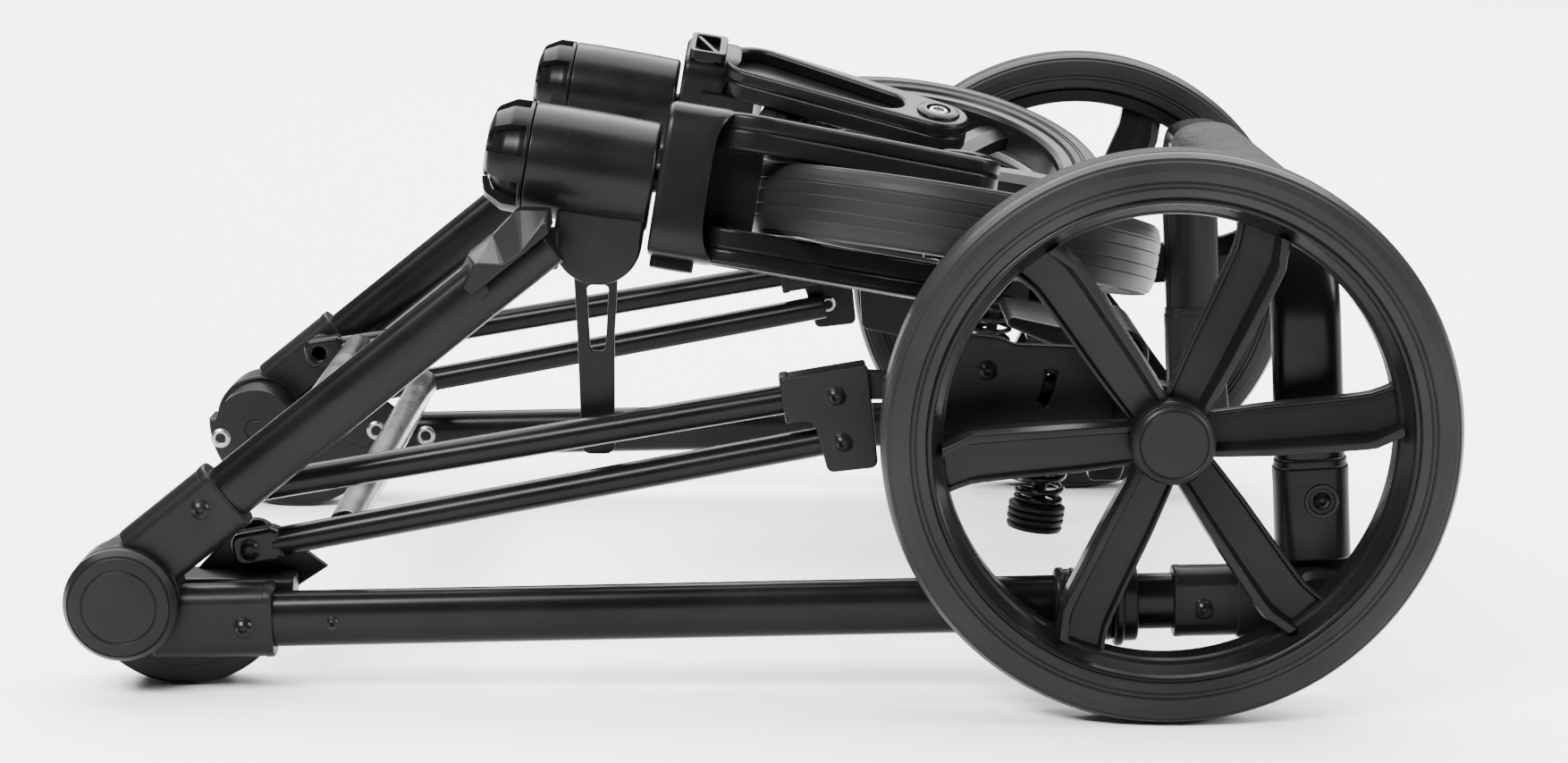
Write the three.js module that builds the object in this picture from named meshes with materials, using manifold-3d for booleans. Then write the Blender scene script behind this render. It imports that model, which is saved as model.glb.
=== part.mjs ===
// Folding four-wheel stroller chassis, modelled folded flat.
//
// Millimetres. +X points to the rear-wheel end, +Y to the chassis's left side and +Z up.
// The ground is z = 0, and the chassis is centred on x = 0 and y = 0.
//
// On each side a leg and a handle tube meet at the fold hinge. A rear link is pivoted on the leg and
// carries the rear wheel; a drag link joins it to the handle's hinge plate, so that unfolding the
// handle swings the rear wheels out.
import * as THREE from 'three';
import { mergeVertices } from 'three/addons/utils/BufferGeometryUtils.js';
import Module from 'manifold-3d';

const wasm = await Module();
wasm.setup();

// ---- driving dimensions ------------------------------------------------------------------------

const SIDES = [{ name: 'right', sign: -1 }, { name: 'left', sign: 1 }];
const GAP = 0.3;                       // between pieces that touch
const RUNNING = 0.4;                   // radial play of a pivot
const SEAT_GAP = 0.8;                  // between a tyre and its rim

const REAR_WHEEL = { x: 215, z: 150, radius: 150, inner: 262.5, outer: 299.5 };
const FRONT_WHEEL = { radius: 113.5, width: 39 };
const HINGE = { x: -334, z: 52.3, radius: 31, pin: 6 };

const LEG = { angle: 39, offset: 9.6, start: 48, end: 297, socketEnd: 78.8 };
const HANDLE = { angle: 1.5, offset: -13.8, start: 44, end: 586, socketEnd: 78 };
const FRAME_TUBE = { y: 242, width: 20, height: 30, wall: 1.8 };
const SOCKET = { inner: 230, split: 242.7, outer: 254, height: 39 };

const LINK = { y: 215, radius: 8, eye: 10, pin: 3.8 };
const REAR_LINK_PIVOT = { x: -291.6, z: 102.3 };
const REAR_LINK_END = { x: 43.2, z: 161 };
const DRAG_LINK_PIVOT = { x: -271.1, z: 73.5 };
const DRAG_LINK_END = { x: 47.2, z: 135.5 };
const REAR_CROSS_TUBE = { along: 27, radius: 9 };
const DRAG_CROSS_TUBE = { along: 50, radius: 9 };

const SWIVEL = { x: -88, y: 188, z: 277, tilt: 9, radius: 30.5, half: 34, cap: 23, stem: 8 };
const CASTER_TURN = { right: -10, left: -164 };
const FORK = {
  axle: 200.5, trail: 41, crownStart: 36, crownEnd: 82, half: 42, lip: 5.5, armInner: 24, armOuter: 37,
};
const FLAP = { along: 9.3, drop: 36.2, radius: 23.8, inner: 8, outer: 20 };
const LATCH = { x: -86, z: 233, y: 192, half: 2, tube: 7, ring: 10.5 };

const ELBOW = { along: 633, offset: -16, radius: 21, armEnd: 608 };
const GRIP = { lean: 93.7, socketEnd: 76, width: 37, depth: 20, wall: 1.8, top: 254, bend: 48 };
const SLEEVE = { start: 494, end: 538, flange: 13 };

const SIDE_PLATE = { inner: 223.8, outer: 231 };
const ARM_PIVOT = { x: 123.3, z: 175.3 };
const SPRING = { x: 158.5, z: 143, y: 209, tilt: 7, length: 44, radius: 13.5, cup: 15.5, cupHeight: 15 };

// ---- materials ---------------------------------------------------------------------------------

function material(color, roughness, metalness) {
  return new THREE.MeshStandardMaterial({ color, roughness, metalness });
}

const LOOK = {
  tube: () => material(0x151618, 0.32, 0.6),
  moulding: () => material(0x1a1b1d, 0.55, 0),
  gloss: () => material(0x101113, 0.2, 0.2),
  rubber: () => material(0x232426, 0.85, 0),
  metal: () => material(0xb9bcc0, 0.3, 1),
  grip: () => material(0x2a2b2d, 0.9, 0),
};

// ---- geometry helpers --------------------------------------------------------------------------

const radians = THREE.MathUtils.degToRad;

/** Turns a closed geometry into a solid that can be joined and cut. */
function solid(geometry) {
  const bare = geometry.clone();
  bare.deleteAttribute('normal');
  bare.deleteAttribute('uv');
  const merged = mergeVertices(bare, 1e-4);
  const vertProperties = Float32Array.from(merged.attributes.position.array);
  const triVerts = Uint32Array.from(merged.index.array);
  return new wasm.Manifold(new wasm.Mesh({ numProp: 3, vertProperties, triVerts }));
}

function geometryOf(body) {
  const mesh = body.getMesh();
  const geometry = new THREE.BufferGeometry();
  geometry.setAttribute('position', new THREE.BufferAttribute(mesh.vertProperties, 3));
  geometry.setIndex(new THREE.BufferAttribute(mesh.triVerts, 1));
  geometry.computeVertexNormals();
  return geometry;
}

/** Joins the first list of geometries and cuts the second list out of them. */
function build(joined, cuts = []) {
  const body = joined.map(solid).reduce((a, b) => a.add(b));
  return geometryOf(cuts.map(solid).reduce((a, b) => a.subtract(b), body));
}

function addPiece(group, name, geometry, look) {
  const mesh = new THREE.Mesh(geometry, look());
  mesh.name = name;
  group.add(mesh);
}

function circle(x, z, radius, steps = 18) {
  return Array.from({ length: steps }, (_, i) => {
    const angle = 2 * Math.PI * i / steps;
    return new THREE.Vector2(x + radius * Math.cos(angle), z + radius * Math.sin(angle));
  });
}

/** The convex outline round a set of points. */
function hull(points) {
  const sorted = [...points].sort((a, b) => a.x - b.x || a.y - b.y);
  const turn = (o, a, b) => (a.x - o.x) * (b.y - o.y) - (a.y - o.y) * (b.x - o.x);
  const chain = (list) => {
    const out = [];
    for (const p of list) {
      while (out.length > 1 && turn(out[out.length - 2], out[out.length - 1], p) <= 1e-6) out.pop();
      out.push(p);
    }
    return out.slice(0, -1);
  };
  return new THREE.Shape([...chain(sorted), ...chain(sorted.reverse())]);
}

/** Extrudes an outline drawn in the X-Z plane between two positions along Y. */
function slab(outline, yA, yB) {
  const depth = Math.abs(yB - yA);
  const geometry = new THREE.ExtrudeGeometry(outline, { depth, bevelEnabled: false, curveSegments: 6 });
  geometry.rotateX(Math.PI / 2);
  geometry.translate(0, Math.max(yA, yB), 0);
  return geometry;
}

function disc(centre, radius, yA, yB, steps = 20) {
  return slab(new THREE.Shape(circle(centre.x, centre.z, radius, steps)), yA, yB);
}

/** A rectangle drawn along a sloping axis, as an outline in the X-Z plane. */
function bar(axis, from, to, low, high) {
  return new THREE.Shape([axis(from, low), axis(to, low), axis(to, high), axis(from, high)]);
}

/** Points at a distance along an axis that leaves a centre at an angle, and offset square to it. */
function axisFrom(centre, angle) {
  const c = Math.cos(radians(angle));
  const s = Math.sin(radians(angle));
  return (along, across) => new THREE.Vector2(
    centre.x + along * c - across * s, centre.z + along * s + across * c);
}

/** A flat-sided oval, hollow where it has a wall. */
function oval(width, height, wall = 0) {
  const ring = (path, w, h) => {
    const r = Math.min(w, h) / 2;
    const side = w / 2 - r;
    const rise = h / 2 - r;
    const turn = w > h ? -Math.PI / 2 : 0;
    path.absarc(side, rise, r, turn, turn + Math.PI, false);
    path.absarc(-side, -rise, r, turn + Math.PI, turn + 2 * Math.PI, false);
    path.closePath();
    return path;
  };
  const shape = ring(new THREE.Shape(), width, height);
  if (wall > 0) shape.holes.push(ring(new THREE.Path(), width - 2 * wall, height - 2 * wall));
  return shape;
}

/** A straight run of a section, from a point in the X-Z plane, along an angle. */
function run(section, start, angle, length, y, steps = 4) {
  const geometry = new THREE.ExtrudeGeometry(section, {
    depth: length, bevelEnabled: false, curveSegments: steps,
  });
  const across = new THREE.Vector3(0, 1, 0);
  const up = new THREE.Vector3(-Math.sin(radians(angle)), 0, Math.cos(radians(angle)));
  const along = new THREE.Vector3(Math.cos(radians(angle)), 0, Math.sin(radians(angle)));
  const place = new THREE.Matrix4().makeBasis(across, up, along).setPosition(start.x, y, start.y);
  return geometry.applyMatrix4(place);
}

function round(radius, steps = 16) {
  return new THREE.Shape(circle(0, 0, radius, steps));
}

/** A turned piece about the Y axis: the profile is a closed list of [radius, y]. */
function turned(profile, steps = 24) {
  const points = profile.map(([r, y]) => new THREE.Vector2(r, y));
  const closed = profile[0][0] === 0 ? points : [...points, points[0].clone()];
  return new THREE.LatheGeometry(closed, steps);
}

/** Gives a turned profile in the order that makes its faces point out on either side. */
function sided(profile, sign) {
  const flipped = profile.map(([r, y]) => [r, sign * y]);
  return sign > 0 ? flipped : flipped.reverse();
}

const legAxis = axisFrom(HINGE, LEG.angle);
const handleAxis = axisFrom(HINGE, HANDLE.angle);
const elbowPoint = handleAxis(ELBOW.along, ELBOW.offset);
const elbow = { x: elbowPoint.x, z: elbowPoint.y };
const gripAxis = axisFrom(elbow, GRIP.lean);

const chassis = new THREE.Group();

// ---- front frame: legs, fold hinge, swivel housings ---------------------------------------------

function frontLeg(side) {
  const y = side.sign * FRAME_TUBE.y;
  const section = oval(FRAME_TUBE.width, FRAME_TUBE.height, FRAME_TUBE.wall);
  const tube = run(section, legAxis(LEG.start, LEG.offset), LEG.angle, LEG.end - LEG.start, y);
  addPiece(chassis, `front_leg_${side.name}`, tube, LOOK.tube);
}

function tubeBore(axis, angle, part, end, y) {
  const section = oval(FRAME_TUBE.width + 2 * GAP, FRAME_TUBE.height + 2 * GAP);
  return run(section, axis(part.start - GAP, part.offset), angle, end - part.start + 10, y);
}

function legSocket(side) {
  const s = side.sign;
  const low = LEG.offset - SOCKET.height / 2;
  const high = LEG.offset + SOCKET.height / 2;
  const pivot = REAR_LINK_PIVOT;
  const joined = [
    slab(bar(legAxis, 0, LEG.socketEnd, low, high), s * SOCKET.inner, s * SOCKET.outer),
    disc(HINGE, HINGE.radius, s * (SOCKET.split + GAP), s * SOCKET.outer),
    disc(pivot, LINK.eye, s * (LINK.y + LINK.radius + GAP), s * (SOCKET.inner + 1), 16),
    disc(pivot, LINK.pin, s * (LINK.y - LINK.radius - 1), s * (SOCKET.inner + 1), 16),
  ];
  const cuts = [
    disc(HINGE, HINGE.radius + 0.8, s * (SOCKET.inner - 1), s * (SOCKET.split + GAP)),
    disc(HINGE, HINGE.pin + RUNNING, s * (SOCKET.inner - 1), s * (SOCKET.outer + 1), 16),
    tubeBore(legAxis, LEG.angle, LEG, LEG.socketEnd, s * FRAME_TUBE.y),
  ];
  addPiece(chassis, `leg_socket_${side.name}`, build(joined, cuts), LOOK.moulding);
}

function hingeCap(side) {
  const face = SOCKET.outer + GAP;
  const profile = sided([
    [0, 201], [HINGE.pin, 201], [HINGE.pin, face], [HINGE.radius - 0.5, face],
    [HINGE.radius - 0.5, face + 7], [HINGE.radius - 3.5, face + 11], [HINGE.radius - 10, face + 12],
    [0, face + 12],
  ], side.sign);
  const geometry = turned(profile);
  geometry.translate(HINGE.x, 0, HINGE.z);
  addPiece(chassis, `hinge_cap_${side.name}`, geometry, LOOK.moulding);
}

function legEndCover(side) {
  const s = side.sign;
  const outline = new THREE.Shape([
    legAxis(251, -7.5), legAxis(288, -7.5), new THREE.Vector2(-106, 250), new THREE.Vector2(-108, 260),
    new THREE.Vector2(-125, 260.5), legAxis(258, 28), legAxis(251, 25),
  ]);
  const neck = new THREE.Shape([
    new THREE.Vector2(-126, 228), new THREE.Vector2(-104.5, 226), new THREE.Vector2(-104.5, 248),
    new THREE.Vector2(-126, 248),
  ]);
  const bore = run(oval(FRAME_TUBE.width + 2 * GAP, FRAME_TUBE.height + 2 * GAP),
    legAxis(240, LEG.offset), LEG.angle, LEG.end + GAP - 240, s * FRAME_TUBE.y);
  const inner = SWIVEL.y + SWIVEL.radius + GAP;
  const cover = build([
    slab(outline, s * inner, s * 254.5),
    slab(neck, s * (SWIVEL.y + FLAP.outer + GAP), s * (inner + 1)),
  ], [bore]);
  addPiece(chassis, `leg_end_cover_${side.name}`, cover, LOOK.moulding);
}

/** A frame whose X axis runs down the swivel, from its cap to its fork. */
function swivelFrame(side) {
  const frame = new THREE.Group();
  frame.position.set(SWIVEL.x, side.sign * SWIVEL.y, SWIVEL.z);
  frame.rotation.y = radians(SWIVEL.tilt);
  chassis.add(frame);
  return frame;
}

function swivelHousing(frame, side) {
  const barrel = new THREE.CylinderGeometry(SWIVEL.radius, SWIVEL.radius, 2 * SWIVEL.half, 24);
  barrel.rotateZ(Math.PI / 2);
  const flap = hull([
    ...circle(FLAP.along, -FLAP.drop, FLAP.radius, 24), new THREE.Vector2(-15, -5),
    new THREE.Vector2(FLAP.along + FLAP.radius, -5),
  ]);
  const bore = new THREE.CylinderGeometry(SWIVEL.stem + RUNNING, SWIVEL.stem + RUNNING, 200, 16);
  bore.rotateZ(Math.PI / 2);
  const s = side.sign;
  const housing = build([barrel, slab(flap, s * FLAP.inner, s * FLAP.outer)], [bore]);
  addPiece(frame, `swivel_housing_${side.name}`, housing, LOOK.gloss);
}

function swivelCap(frame, side) {
  const steps = 3;
  const dome = Array.from({ length: steps + 1 }, (_, i) => {
    const angle = Math.PI / 2 * i / steps;
    return [(SWIVEL.radius - 12) + 12 * Math.cos(angle), 8 + 15 * Math.sin(angle)];
  });
  const geometry = turned([[0, 0], [SWIVEL.radius, 0], ...dome, [0, SWIVEL.cap]], 24);
  geometry.rotateZ(Math.PI / 2);
  geometry.translate(-SWIVEL.half - GAP, 0, 0);
  addPiece(frame, `swivel_cap_${side.name}`, geometry, LOOK.moulding);
}

/** The tube between the two swivel housings' flaps, which also carries the storage latch. */
function frontCrossTube() {
  const half = SWIVEL.y + FLAP.inner - GAP;
  const tube = build([disc(LATCH, LATCH.tube, -half, half)], [disc(LATCH, LATCH.tube - 1.6, -400, 400)]);
  addPiece(chassis, 'front_cross_tube', tube, LOOK.tube);
}

function storageLatch() {
  const outline = new THREE.Shape();
  outline.moveTo(-98, 232);
  outline.lineTo(-74, 232);
  outline.lineTo(-76, 185);
  outline.lineTo(-76, 126);
  outline.quadraticCurveTo(-76, 121, -81, 121);
  outline.lineTo(-89, 121);
  outline.quadraticCurveTo(-94, 121, -94, 126);
  outline.lineTo(-96, 185);
  outline.closePath();
  const window = new THREE.Shape([
    new THREE.Vector2(-90, 181), new THREE.Vector2(-81, 181), new THREE.Vector2(-80, 194),
    new THREE.Vector2(-91, 194),
  ]);
  const low = -LATCH.y - LATCH.half;
  const high = -LATCH.y + LATCH.half;
  const latch = build([slab(outline, low, high), disc(LATCH, LATCH.ring, low, high, 24)], [
    slab(window, low - 1, high + 1),
    disc(LATCH, LATCH.tube + RUNNING, low - 1, high + 1, 24),
  ]);
  addPiece(chassis, 'storage_latch', latch, LOOK.moulding);
}

// ---- casters: fork, wheel and axle bolt, in a frame with X down the swivel and Z along the axle --

function fork(frame, side) {
  const extrude = (outline, low, high) => {
    const geometry = new THREE.ExtrudeGeometry(outline, {
      depth: high - low, bevelEnabled: false, curveSegments: 8,
    });
    return geometry.translate(0, 0, low);
  };
  const crown = hull([
    new THREE.Vector2(FORK.crownStart, -24), new THREE.Vector2(FORK.crownStart, 26),
    ...circle(FORK.crownEnd + 6, 8, 24),
  ]);
  const lip = hull([
    new THREE.Vector2(FORK.crownStart + 3, -13), new THREE.Vector2(FORK.crownStart + 3, 20),
    ...circle(FORK.crownEnd, 6, 19),
  ]);
  const arm = hull([...circle(FORK.crownEnd, 8, 24), ...circle(FORK.axle, FORK.trail, 20)]);
  const window = hull([...circle(96, 13, 15, 20), ...circle(168, 33, 11, 20)]);
  const middle = FORK.armOuter - 6;
  const stem = new THREE.CylinderGeometry(SWIVEL.stem, SWIVEL.stem, 72, 16);
  stem.rotateZ(Math.PI / 2);
  stem.translate(FORK.crownStart + 2 - 36, 0, 0);
  const joined = [
    extrude(crown, -FORK.half, FORK.half), extrude(lip, -FORK.half - FORK.lip, 1 - FORK.half), stem,
  ];
  const cuts = [];
  for (const sign of [-1, 1]) {
    const ends = [sign * FORK.armInner, sign * FORK.armOuter].sort((a, b) => a - b);
    joined.push(extrude(arm, ends[0], ends[1]));
    const deep = [sign * middle, sign * 60].sort((a, b) => a - b);
    cuts.push(extrude(window, deep[0], deep[1]));
  }
  const clearance = extrude(new THREE.Shape(circle(FORK.axle, FORK.trail, FRONT_WHEEL.radius + 5, 40)),
    -FORK.armInner, FORK.armInner);
  const hole = extrude(new THREE.Shape(circle(FORK.axle, FORK.trail, 6 + RUNNING, 16)), -60, 60);
  addPiece(frame, `fork_${side.name}`, build(joined, [...cuts, clearance, hole]), LOOK.moulding);
}

function frontAxle(frame, side) {
  const half = FORK.armOuter + 4;
  const bolt = turned([
    [0, -half], [10, -half], [10, -FORK.armOuter - GAP], [6, -FORK.armOuter - GAP],
    [6, FORK.armOuter + GAP], [10, FORK.armOuter + GAP], [10, half], [0, half],
  ], 16);
  bolt.rotateX(Math.PI / 2);
  bolt.translate(FORK.axle, FORK.trail, 0);
  addPiece(frame, `front_axle_bolt_${side.name}`, bolt, LOOK.metal);
}

/** The outline of a solid tyre: [radius, y] round its section. */
function tyreProfile(radius, half, seat, seatHalf) {
  return [
    [seat, -seatHalf], [radius - 7, -half], [radius, -half + 9], [radius, half - 9],
    [radius - 7, half], [seat, seatHalf],
  ];
}

function spokedRim(outer, inner, half, hub, spokes, first) {
  const joined = [
    turned([[inner, -half], [outer, -half], [outer, half], [inner, half]], 32),
    turned([
      [hub.bore, -hub.half], [hub.radius, -hub.half], [hub.radius, hub.half], [hub.bore, hub.half],
    ], 14),
  ];
  for (let i = 0; i < spokes.count; i += 1) {
    const span = (inner + outer) / 2 - hub.radius + 3;
    const web = new THREE.BoxGeometry(span, spokes.web, spokes.width);
    const rib = new THREE.BoxGeometry(span, spokes.rib, spokes.web);
    rib.translate(0, 0, -spokes.width / 2 + spokes.web / 2 + 0.01);
    for (const blade of [web, rib]) {
      blade.translate(hub.radius - 3 + span / 2, 0, 0);
      blade.rotateY(-radians(first + 360 * i / spokes.count));
      joined.push(blade);
    }
  }
  return build(joined);
}

function frontWheel(frame, side) {
  const half = FRONT_WHEEL.width / 2;
  const seat = 93;
  const tyre = turned(tyreProfile(FRONT_WHEEL.radius, half, seat, 15), 36);
  const hub = { bore: 6 + RUNNING, radius: 17, half: 22 };
  const spokes = { count: 6, web: 5, rib: 24, width: 16 };
  const rim = spokedRim(seat - SEAT_GAP, seat - 10, 15, hub, spokes, 0);
  for (const [name, geometry, look] of [['tyre', tyre, LOOK.rubber], ['rim', rim, LOOK.gloss]]) {
    geometry.rotateX(Math.PI / 2);
    geometry.translate(FORK.axle, FORK.trail, 0);
    addPiece(frame, `front_${name}_${side.name}`, geometry, look);
  }
}

// ---- handle: hinge sockets and plates, tubes, release sleeves, elbows ---------------------------

function handleSocket(side) {
  const s = side.sign;
  const low = HANDLE.offset - SOCKET.height / 2;
  const high = HANDLE.offset + SOCKET.height / 2;
  const joined = [
    slab(bar(handleAxis, 0, HANDLE.socketEnd, low, high), s * SOCKET.inner, s * SOCKET.outer),
    disc(HINGE, HINGE.radius, s * SOCKET.inner, s * SOCKET.split),
  ];
  const cuts = [
    disc(HINGE, HINGE.radius + 0.8, s * SOCKET.split, s * (SOCKET.outer + 1)),
    disc(HINGE, HINGE.pin + RUNNING, s * (SOCKET.inner - 1), s * (SOCKET.outer + 1), 16),
    tubeBore(handleAxis, HANDLE.angle, HANDLE, HANDLE.socketEnd, s * FRAME_TUBE.y),
  ];
  addPiece(chassis, `handle_socket_${side.name}`, build(joined, cuts), LOOK.moulding);
}

function hingePlate(side) {
  const s = side.sign;
  const inner = 199;
  const outer = SOCKET.inner - GAP;
  const face = LINK.y - LINK.radius - GAP;
  const foot = { x: -306, z: 59, radius: 59 };
  const above = new THREE.Shape([
    new THREE.Vector2(-400, 60.5), new THREE.Vector2(-200, 62.5), new THREE.Vector2(-200, 200),
    new THREE.Vector2(-400, 200),
  ]);
  const lobe = hull([
    ...circle(DRAG_LINK_PIVOT.x, DRAG_LINK_PIVOT.z, 13, 24), new THREE.Vector2(-232, 60),
    new THREE.Vector2(-262, 40), new THREE.Vector2(-305, 56),
  ]);
  const lower = build([disc(foot, foot.radius, s * inner, s * outer, 32)], [slab(above, -400, 400)]);
  const joined = [
    lower,
    disc(HINGE, 27, s * inner, s * outer),
    slab(lobe, s * inner, s * face),
    disc(DRAG_LINK_PIVOT, LINK.pin, s * (face - 1), s * (LINK.y + LINK.radius + 1), 16),
  ];
  const bore = disc(HINGE, HINGE.pin + RUNNING, s * (inner - 1), s * (outer + 1), 24);
  addPiece(chassis, `hinge_plate_${side.name}`, build(joined, [bore]), LOOK.moulding);
}

function handleTube(side) {
  const section = oval(FRAME_TUBE.width, FRAME_TUBE.height, FRAME_TUBE.wall);
  const start = handleAxis(HANDLE.start, HANDLE.offset);
  const tube = run(section, start, HANDLE.angle, HANDLE.end - HANDLE.start, side.sign * FRAME_TUBE.y);
  addPiece(chassis, `handle_tube_${side.name}`, tube, LOOK.tube);
}

function elbowSocket(side) {
  const s = side.sign;
  const start = 557;
  const low = HANDLE.offset - 19;
  const high = HANDLE.offset + 19;
  const joined = [
    slab(bar(handleAxis, start, ELBOW.armEnd, low, high), s * SOCKET.inner, s * SOCKET.outer),
    slab(bar(handleAxis, start, ELBOW.along, low, high), s * (SOCKET.split + GAP), s * SOCKET.outer),
    disc(elbow, ELBOW.radius, s * (SOCKET.split + GAP), s * (SOCKET.outer + 2)),
    disc(elbow, 7, s * (SOCKET.inner - 4), s * SOCKET.outer, 24),
  ];
  const section = oval(FRAME_TUBE.width + 2 * GAP, FRAME_TUBE.height + 2 * GAP);
  const bore = run(section, handleAxis(start - 10, HANDLE.offset), HANDLE.angle,
    HANDLE.end + GAP - start + 10, s * FRAME_TUBE.y);
  addPiece(chassis, `elbow_socket_${side.name}`, build(joined, [bore]), LOOK.moulding);
}

function releaseSleeve(side) {
  const y = side.sign * FRAME_TUBE.y;
  const length = SLEEVE.end - SLEEVE.start;
  const start = handleAxis(SLEEVE.start, HANDLE.offset);
  const flangeStart = handleAxis(SLEEVE.end - SLEEVE.flange, HANDLE.offset);
  const bore = run(oval(FRAME_TUBE.width + 2 * RUNNING, FRAME_TUBE.height + 2 * RUNNING),
    handleAxis(SLEEVE.start - 5, HANDLE.offset), HANDLE.angle, length + 10, y);
  const sleeve = build([
    run(oval(27, 37), start, HANDLE.angle, length, y),
    run(oval(36, 47), flangeStart, HANDLE.angle, SLEEVE.flange, y),
  ], [bore]);
  addPiece(chassis, `release_sleeve_${side.name}`, sleeve, LOOK.moulding);
}

function gripSocket(side) {
  const s = side.sign;
  const half = 20;
  const joined = [
    slab(bar(gripAxis, 24, GRIP.socketEnd, -half, half), s * SOCKET.inner, s * SOCKET.outer),
    slab(bar(gripAxis, 0, 25, -half, half), s * SOCKET.inner, s * SOCKET.split),
    disc(elbow, ELBOW.radius, s * SOCKET.inner, s * SOCKET.split),
  ];
  const section = oval(GRIP.depth + 2 * GAP, GRIP.width + 2 * GAP);
  const cuts = [
    disc(elbow, ELBOW.radius + 0.8, s * SOCKET.split, s * (SOCKET.outer + 3)),
    disc(elbow, 7 + RUNNING, s * (SOCKET.inner - 1), s * SOCKET.outer, 24),
    run(section, gripAxis(46 - GAP, 0), GRIP.lean, GRIP.socketEnd, s * FRAME_TUBE.y),
  ];
  addPiece(chassis, `grip_socket_${side.name}`, build(joined, cuts), LOOK.moulding);
}

/** The bent grip tube: up from both sockets, and across at the top. */
function gripTube() {
  const foot = gripAxis(46, 0);
  const rise = (GRIP.top - foot.y) / Math.sin(radians(GRIP.lean));
  const point = (along, y) => {
    const p = gripAxis(46 + along, 0);
    return new THREE.Vector3(p.x, y, p.y);
  };
  const y = FRAME_TUBE.y;
  const bend = GRIP.bend;
  const path = new THREE.CurvePath();
  path.add(new THREE.LineCurve3(point(0, -y), point(rise - bend, -y)));
  path.add(new THREE.QuadraticBezierCurve3(point(rise - bend, -y), point(rise, -y), point(rise, -y + bend)));
  path.add(new THREE.LineCurve3(point(rise, -y + bend), point(rise, y - bend)));
  path.add(new THREE.QuadraticBezierCurve3(point(rise, y - bend), point(rise, y), point(rise - bend, y)));
  path.add(new THREE.LineCurve3(point(rise - bend, y), point(0, y)));
  const tube = new THREE.ExtrudeGeometry(oval(GRIP.depth, GRIP.width, GRIP.wall), {
    steps: 30, extrudePath: path, curveSegments: 2, bevelEnabled: false,
  });
  addPiece(chassis, 'grip_tube', tube, LOOK.gloss);
  const centre = point(rise, 0);
  const sleeve = (spare, length) => {
    const section = oval(GRIP.depth + spare, GRIP.width + spare);
    const geometry = new THREE.ExtrudeGeometry(section, {
      depth: length, bevelEnabled: false, curveSegments: 6,
    });
    geometry.rotateX(Math.PI / 2);
    geometry.rotateY(Math.PI / 2 + radians(90 - GRIP.lean));
    return geometry.translate(centre.x, length / 2, centre.z);
  };
  addPiece(chassis, 'grip_cover', build([sleeve(8, 300)], [sleeve(2 * GAP, 320)]), LOOK.grip);
}

// ---- links, rear frame and suspension ----------------------------------------------------------

/** A round link tube with a flattened eye at its first end. */
function linkTube(name, from, to, side, endLength) {
  const angle = THREE.MathUtils.radToDeg(Math.atan2(to.z - from.z, to.x - from.x));
  const length = Math.hypot(to.x - from.x, to.z - from.z);
  const axis = axisFrom(from, angle);
  const s = side.sign;
  const low = s * (LINK.y - LINK.radius);
  const high = s * (LINK.y + LINK.radius);
  const joined = [
    run(round(LINK.radius), axis(8, 0), angle, length - 8 + endLength, s * LINK.y),
    disc(from, LINK.eye, low, high),
  ];
  const bore = disc(from, LINK.pin + RUNNING, s * 150, s * 260, 16);
  addPiece(chassis, `${name}_${side.name}`, build(joined, [bore]), LOOK.tube);
}

function crossTube(name, from, to, tube) {
  const angle = Math.atan2(to.z - from.z, to.x - from.x);
  const centre = { x: from.x + tube.along * Math.cos(angle), z: from.z + tube.along * Math.sin(angle) };
  const half = LINK.y - LINK.radius - GAP;
  addPiece(chassis, name, build([disc(centre, tube.radius, -half, half)],
    [disc(centre, tube.radius - 1.8, -400, 400)]), LOOK.metal);
}

function linkBracket(side) {
  const s = side.sign;
  const angle = THREE.MathUtils.radToDeg(
    Math.atan2(REAR_LINK_END.z - REAR_LINK_PIVOT.z, REAR_LINK_END.x - REAR_LINK_PIVOT.x));
  const axis = axisFrom(REAR_LINK_END, angle);
  const plate = new THREE.Shape([
    axis(-27, -11), axis(-14, -12), axis(-10, -42), axis(17, -43), axis(20, 14), axis(-29, 14),
  ]);
  const block = bar(axis, -28, 18, -11, 13);
  const outer = SIDE_PLATE.outer - 2;
  const bore = run(round(LINK.radius + GAP), axis(-40, 0), angle, 40 + 12 + GAP, s * LINK.y);
  const bracket = build([
    slab(plate, s * (LINK.y + LINK.radius + 2 * GAP), s * outer),
    slab(block, s * (LINK.y - LINK.radius - 3), s * outer),
  ], [bore]);
  addPiece(chassis, `link_bracket_${side.name}`, bracket, LOOK.moulding);
}

function sidePlate(side) {
  const s = side.sign;
  const outline = new THREE.Shape();
  outline.moveTo(67, 172);
  outline.lineTo(96, 182);
  outline.quadraticCurveTo(104, 195, 115, 195);
  outline.quadraticCurveTo(128, 195, 134, 190);
  outline.lineTo(186, 188);
  outline.lineTo(192, 168);
  outline.lineTo(186, 128);
  outline.lineTo(140, 117);
  outline.quadraticCurveTo(118, 130, 97, 113);
  outline.lineTo(70, 119);
  outline.closePath();
  const shelf = new THREE.Shape([
    new THREE.Vector2(155, 172), new THREE.Vector2(182, 172), new THREE.Vector2(182, 180),
    new THREE.Vector2(155, 180),
  ]);
  const plate = build([
    slab(outline, s * SIDE_PLATE.inner, s * SIDE_PLATE.outer),
    slab(shelf, s * 199, s * (SIDE_PLATE.inner + 1)),
    disc(ARM_PIVOT, 5, s * 205, s * (SIDE_PLATE.inner + 1), 24),
  ]);
  addPiece(chassis, `side_plate_${side.name}`, plate, LOOK.moulding);
}

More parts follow.
